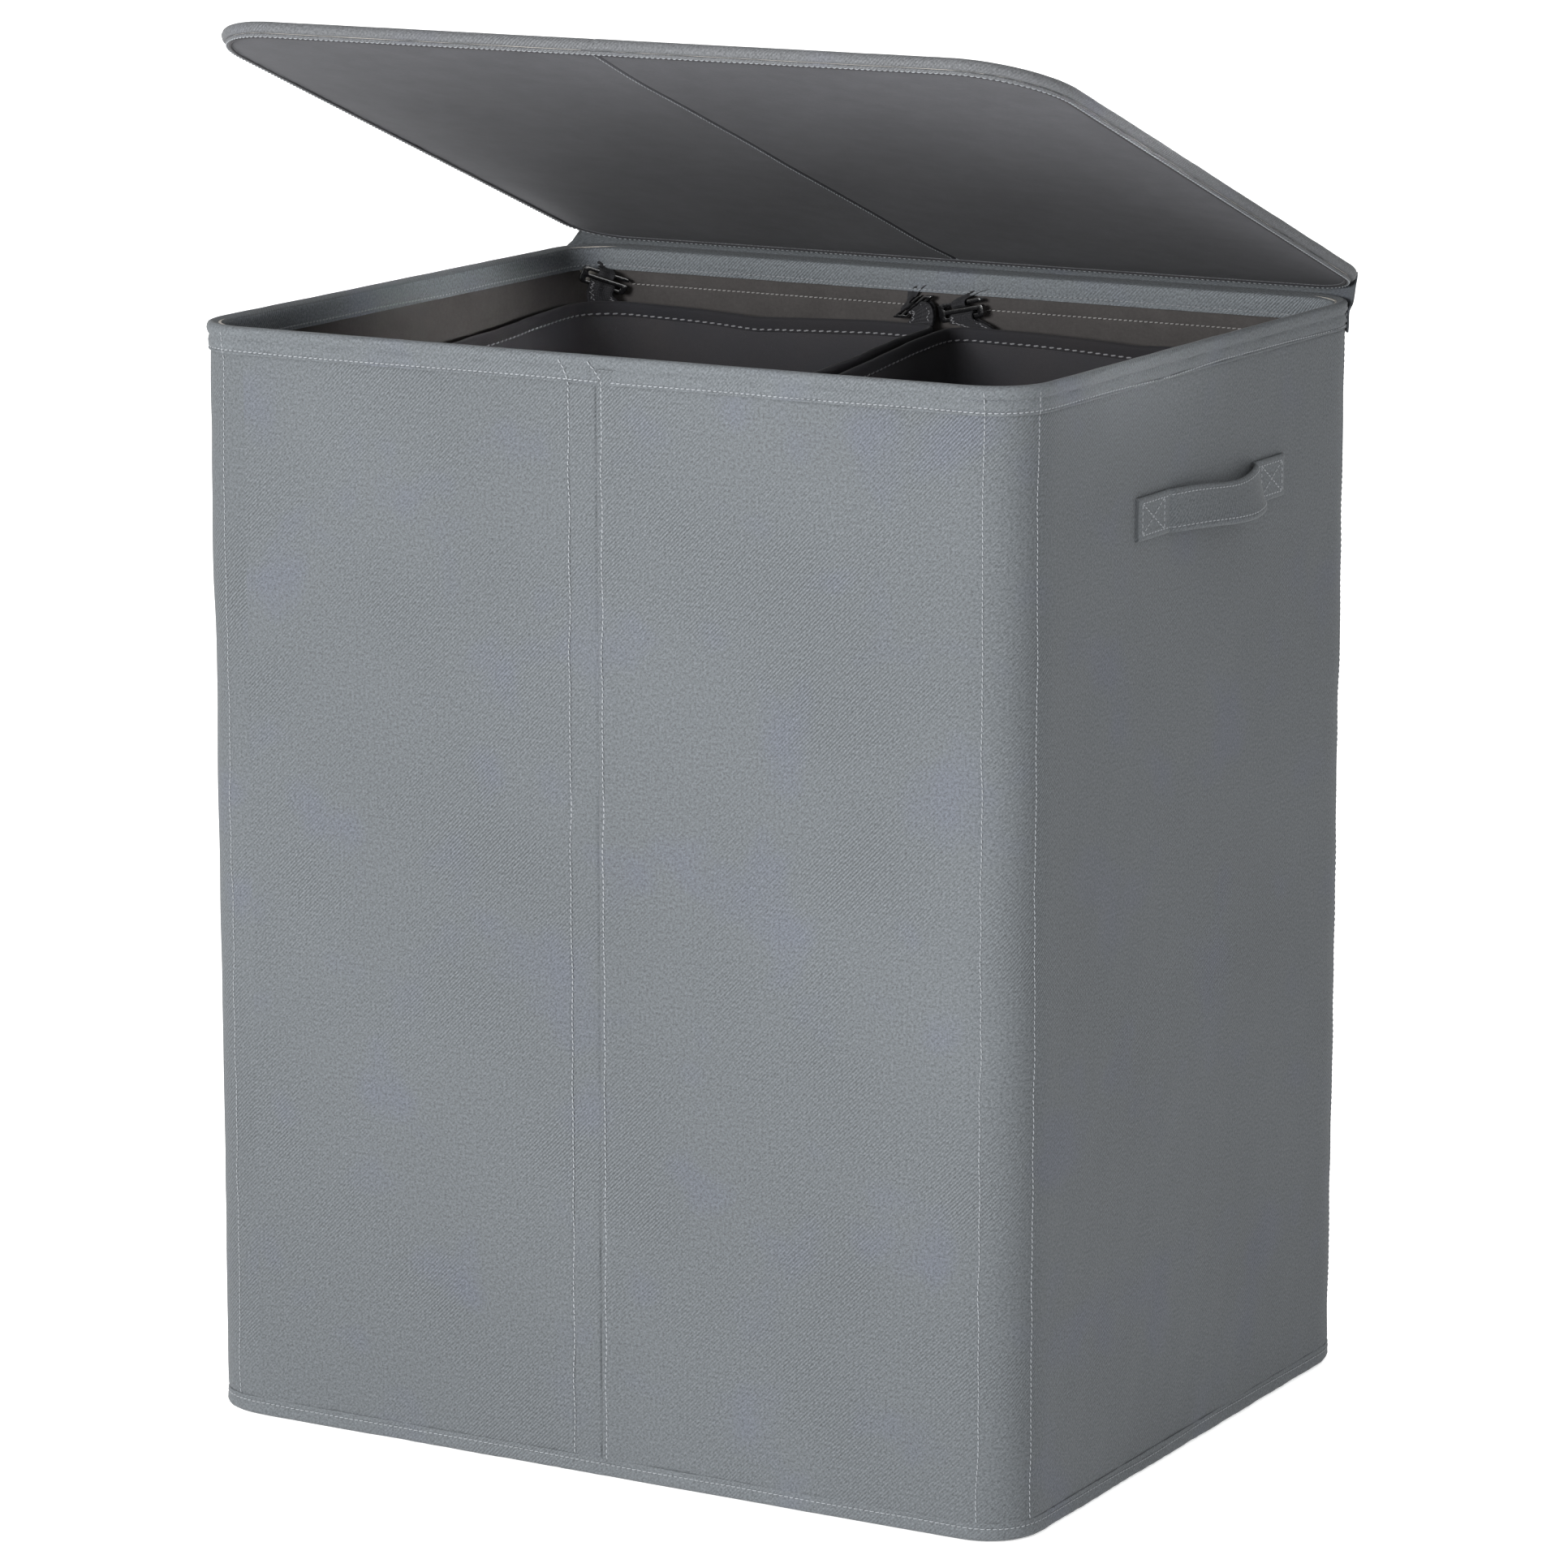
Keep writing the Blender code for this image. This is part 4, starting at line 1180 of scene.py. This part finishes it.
def loop_route(behind):
    """From the rim down through the clip and back up. Behind is how far off the wall's lining stands."""
    down = [(behind + out, up) for out, up in mm((0.2, 26.2), (0.0, 20.5), (-1.4, 17.8))]
    hook = mm((4.8, 15.7), (1.8, 14.9), (-1.5, 16.2), (-0.8, 18.8), (3.0, 19.8))
    return down + hook + [(behind + out, up) for out, up in mm((-1.2, 20.0), (-0.1, 22.5), (0.1, 26.4))]


def build_hook(name, body, matrix, tilt, shift):
    clip = clip_mesh(f"hook_{name}")
    shape = np.array([vertex.co for vertex in clip.vertices])
    shape = moved(leaning(shape, tilt, shift, rigid=True), matrix)
    clip.vertices.foreach_set("co", shape.astype(np.float32).ravel())
    clip.update()
    add_piece(clip, "plastic", body, [f"clip_{name}"], sharp=50.0)


def build_clips():
    """Each clip with its strap, sewn to the bag, and its loop, which hangs from the rim."""
    rows = {-1: [], 1: []}
    for name, (side, point, outward, behind) in clip_spots().items():
        place = (spot_matrix(point, outward), CLIP_TILTS[name], CLIP_SHIFTS.get(name, 0.0))
        body = "liner_left" if side < 0 else "liner_right"
        build_hook(name, body, *place)
        strap = webbing_mesh(f"webbing_{name}", STRAP_ROUTE, *place, 0.8)
        add_piece(strap, "webbing", body, [f"strap_{name}"])
        rows[side] += zigzag(STRAP_ROUTE, *place, 0.76, 0.98, -1.0)
        hanger = webbing_mesh(f"hanger_{name}", loop_route(behind), *place, 0.5)
        item = add_piece(hanger, "webbing", None, [f"loop_{name}"])
        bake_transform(item)
    for name, side in SIDES:
        sew(f"webbing_stitches_{name}", rows[side], "dark_thread", f"liner_{name}")


# ---- handles --------------------------------------------------------------------------------------
GRIP_LOW, GRIP_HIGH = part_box("handle_right_grip")
GRIP_BOTTOM, GRIP_TOP = GRIP_LOW.z, GRIP_HIGH.z
GRIP_MIDDLE_Y = (GRIP_LOW.y + GRIP_HIGH.y) / 2
GRIP_MIDDLE_Z = (GRIP_TOP + GRIP_BOTTOM) / 2
GRIP_HALF_SPAN = 0.055
GRIP_HEIGHT = GRIP_TOP - GRIP_BOTTOM
GRIP_THICK = 0.0026
GRIP_BOW = 0.0118
GRIP_STEPS = 45
GRIP_LEAN = 0.42
PATCH_LENGTH = 0.038


def handle_slack(y):
    """How slack the strap is at a distance y from its centre, 0 to 1: it rises slowly in front and folds back
    sharply behind."""
    share = np.clip((y + GRIP_HALF_SPAN) / (2 * GRIP_HALF_SPAN), 0, 1)
    return np.maximum(np.sin(math.pi * share**1.6), 0.0)


def handle_out(y):
    """How far the strap's middle stands off the wall at a distance y from its centre. Its ends lie under the
    patches."""
    tucked = smooth(GRIP_HALF_SPAN - 0.006, GRIP_HALF_SPAN + 0.002, np.abs(y))
    return 0.0025 - 0.0019 * tucked + GRIP_BOW * handle_slack(y) ** 0.55


def handle_droop(y):
    return -0.0030 * handle_slack(y) ** 1.5


def handle_path(side, count):
    """Middle line of the strap, from just under the front patch to just under the rear one."""
    reach = GRIP_HALF_SPAN + 0.002
    y = np.concatenate([[-reach], -GRIP_HALF_SPAN * np.cos(np.linspace(0, math.pi, 800)), [reach]])
    path = path_of(side * (WALL_X + handle_out(y)), GRIP_MIDDLE_Y + y, GRIP_MIDDLE_Z + handle_droop(y))
    return sampled(path, walked(path), np.linspace(0, walked(path)[-1], count))


def handle_section():
    section = flat_section(GRIP_HEIGHT, GRIP_THICK, 0.0004, 26)
    half = GRIP_HEIGHT / 2
    dip = groove(np.abs(section[:, 0]) - half + 0.0032, 0.00035, 0.0006)
    section[:, 1] += np.where(section[:, 1] > 0, dip, -dip)
    return section


def build_grip(name, side, end):
    """Half of a grip, from the middle to the patch at one end."""
    path = handle_path(side, 2 * GRIP_STEPS + 1)
    outward = plan_normals(path, (0, 0, 1))
    outward = outward * np.sign(outward[:, :1] * side + 1e-9).mean()
    half = slice(0, GRIP_STEPS + 1) if end < 0 else slice(GRIP_STEPS, None)
    path, outward = path[half], outward[half]
    lean = GRIP_LEAN * handle_slack(path[:, 1:2] - GRIP_MIDDLE_Y) ** 0.5
    upward = np.array((0.0, 0.0, 1.0))
    sideways = np.cos(lean) * upward - np.sin(lean) * outward
    outward = np.cos(lean) * outward + np.sin(lean) * upward
    section = handle_section()
    if side > 0:
        section = section[::-1]
    mesh = sweep(f"grip_{name}", path, outward, sideways, section)
    rows = []
    for height in (-1, 1):
        track = path + outward * (GRIP_THICK / 2 + 0.00015)
        track += height * (GRIP_HEIGHT / 2 - 0.0032) * sideways
        rows.append(stitch_row(track, outward, thread=0.00034))
    handle = "handle_left" if side < 0 else "handle_right"
    item = add_piece(mesh, "strap")
    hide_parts(f"{handle}_grip")
    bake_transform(item)
    stitches = sew(f"grip_stitches_{name}", rows, body=None)
    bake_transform(stitches)


def patch_mesh(name, side, end):
    near = GRIP_MIDDLE_Y + end * (GRIP_HALF_SPAN - 0.001)
    far = GRIP_MIDDLE_Y + end * (GRIP_HALF_SPAN + PATCH_LENGTH)
    y = np.linspace(near, far, 40)
    edge = np.minimum(np.abs(y - far), np.abs(y - near))
    path = path_of(side * (WALL_X + 0.0013 + 0.0005 * smooth(0.0, 0.003, edge)), y, GRIP_MIDDLE_Z)
    section = handle_section()
    section[:, 1] *= 0.85
    flip = side * end > 0
    return sweep(name, path, (side, 0.0, 0.0), (0, 0, 1), section[::-1] if flip else section)


def box_stitches(side, end):
    """A square of stitching crossed corner to corner, which holds one end of the handle."""
    distances = (0.002, PATCH_LENGTH - 0.004, PATCH_LENGTH - 0.031)
    near, far, inner = (GRIP_MIDDLE_Y + end * (GRIP_HALF_SPAN + distance) for distance in distances)
    low, high = GRIP_BOTTOM + 0.0034, GRIP_TOP - 0.0034
    lines = [((near, low), (far, low)), ((far, low), (far, high)), ((far, high), (near, high))]
    lines += [((inner, low), (inner, high)), ((inner, low), (far, high)), ((inner, high), (far, low))]
    rows = []
    for start, stop in np.array(lines):
        y, z = (start + np.linspace(0, 1, 12)[:, None] * (stop - start)).T
        path = path_of(side * (WALL_X + 0.0029), y, z)
        rows.append(stitch_row(path, (side, 0.0, 0.0), thread=0.00036))
    return rows


def build_handles():
    for side_name, side in SIDES:
        for end_name, end in ENDS:
            name = f"{side_name}_{end_name}"
            build_grip(name, side, end)
            patch = patch_mesh(f"patch_{name}", side, end)
            add_piece(patch, "strap", "shell", [f"handle_{name}_patch"])
            sew(f"patch_stitches_{name}", box_stitches(side, end))


# ---- hidden stiffeners ----------------------------------------------------------------------------
def finish_cad_nodes():
    """The boards, stays and fold strips keep their own solids and get their materials here."""
    for name, node in frame["nodes"].items():
        if node.hide_render:
            continue
        is_strip = name.endswith("fold_strip")
        is_base = name == "base_board"
        node.data.materials.clear()
        node.data.materials.append(MATERIALS["strip" if is_strip or is_base else "board"])


# ---- stage ----------------------------------------------------------------------------------------
def add_light(name, azimuth, elevation, distance, size, power, target=(0.0, 0.0, 0.35)):
    """A square soft light that looks at the target. Azimuth 0 is in front and 90 to the right."""
    turn, rise = math.radians(azimuth), math.radians(elevation)
    away = Vector((math.sin(turn) * math.cos(rise), -math.cos(turn) * math.cos(rise), math.sin(rise)))
    data = bpy.data.lights.new(name, "AREA")
    data.energy = power
    data.size = size
    lamp = bpy.data.objects.new(name, data)
    lamp.location = Vector(target) + away * distance
    lamp.rotation_euler = away.to_track_quat("Z", "Y").to_euler()
    bpy.context.scene.collection.objects.link(lamp)
    return lamp


def build_floor():
    recipe = Recipe("pale_floor")
    tone = recipe.noise(recipe.object_place(), 3.0, 2.0)
    inputs = recipe.shader.inputs
    recipe.put(inputs["Base Color"], recipe.mixed(tone, (0.93, 0.93, 0.93), (0.95, 0.95, 0.95)))
    inputs["Roughness"].default_value = 0.9
    inputs["Emission Color"].default_value = (1.0, 1.0, 1.0, 1.0)
    inputs["Emission Strength"].default_value = 0.5
    reach = 30.0
    corners = [(-reach, -reach, 0.0), (reach, -reach, 0.0), (reach, reach, 0.0), (-reach, reach, 0.0)]
    mesh = mesh_of("floor", corners, [(0, 1, 2, 3)])
    mesh.materials.append(recipe.material)
    floor = bpy.data.objects.new("floor", mesh)
    floor.location.z = -0.0005
    bpy.context.scene.collection.objects.link(floor)


def build_stage():
    build_floor()
    world = bpy.data.worlds.new("studio")
    world.use_nodes = True
    background = world.node_tree.nodes["Background"].inputs
    background["Color"].default_value = (1.0, 1.0, 1.0, 1.0)
    background["Strength"].default_value = 1.0
    bpy.context.scene.world = world
    add_light("key", -10.0, 9.0, 3.0, 1.1, 160.0, (0.0, 0.0, 0.60))
    add_light("near_fill", 48.0, 9.0, 1.25, 0.5, 4.1, (0.0, 0.0, 0.42))
    inner = add_light("inner_fill", 74.0, 11.0, 2.2, 0.14, 0.13, (-0.25, 0.05, 0.61))
    inner.data.spread = math.radians(6.5)
    bpy.context.scene.view_settings.view_transform = "Standard"


def build_camera():
    data = bpy.data.cameras.new("camera")
    data.sensor_width = 36.0
    data.lens = 147.96
    data.clip_end = 100.0
    camera = bpy.data.objects.new("camera", data)
    camera.location = (1.8153, -3.1998, 1.1312)
    camera.rotation_euler = (math.radians(90.0 - 11.826), 0.0, math.radians(29.57))
    bpy.context.scene.collection.objects.link(camera)
    bpy.context.scene.camera = camera


build_camera()
MATERIALS = make_materials()
build_cover()
build_rim()
build_foot()
build_lining()
build_base()
build_wall_stitches()
build_fold_stitches()
build_lid_skins()
build_lid_binding()
build_lid_stitches()
build_hinge_strip()
build_bags()
build_clips()
build_handles()
finish_cad_nodes()
build_stage()
bpy.context.view_layer.update()
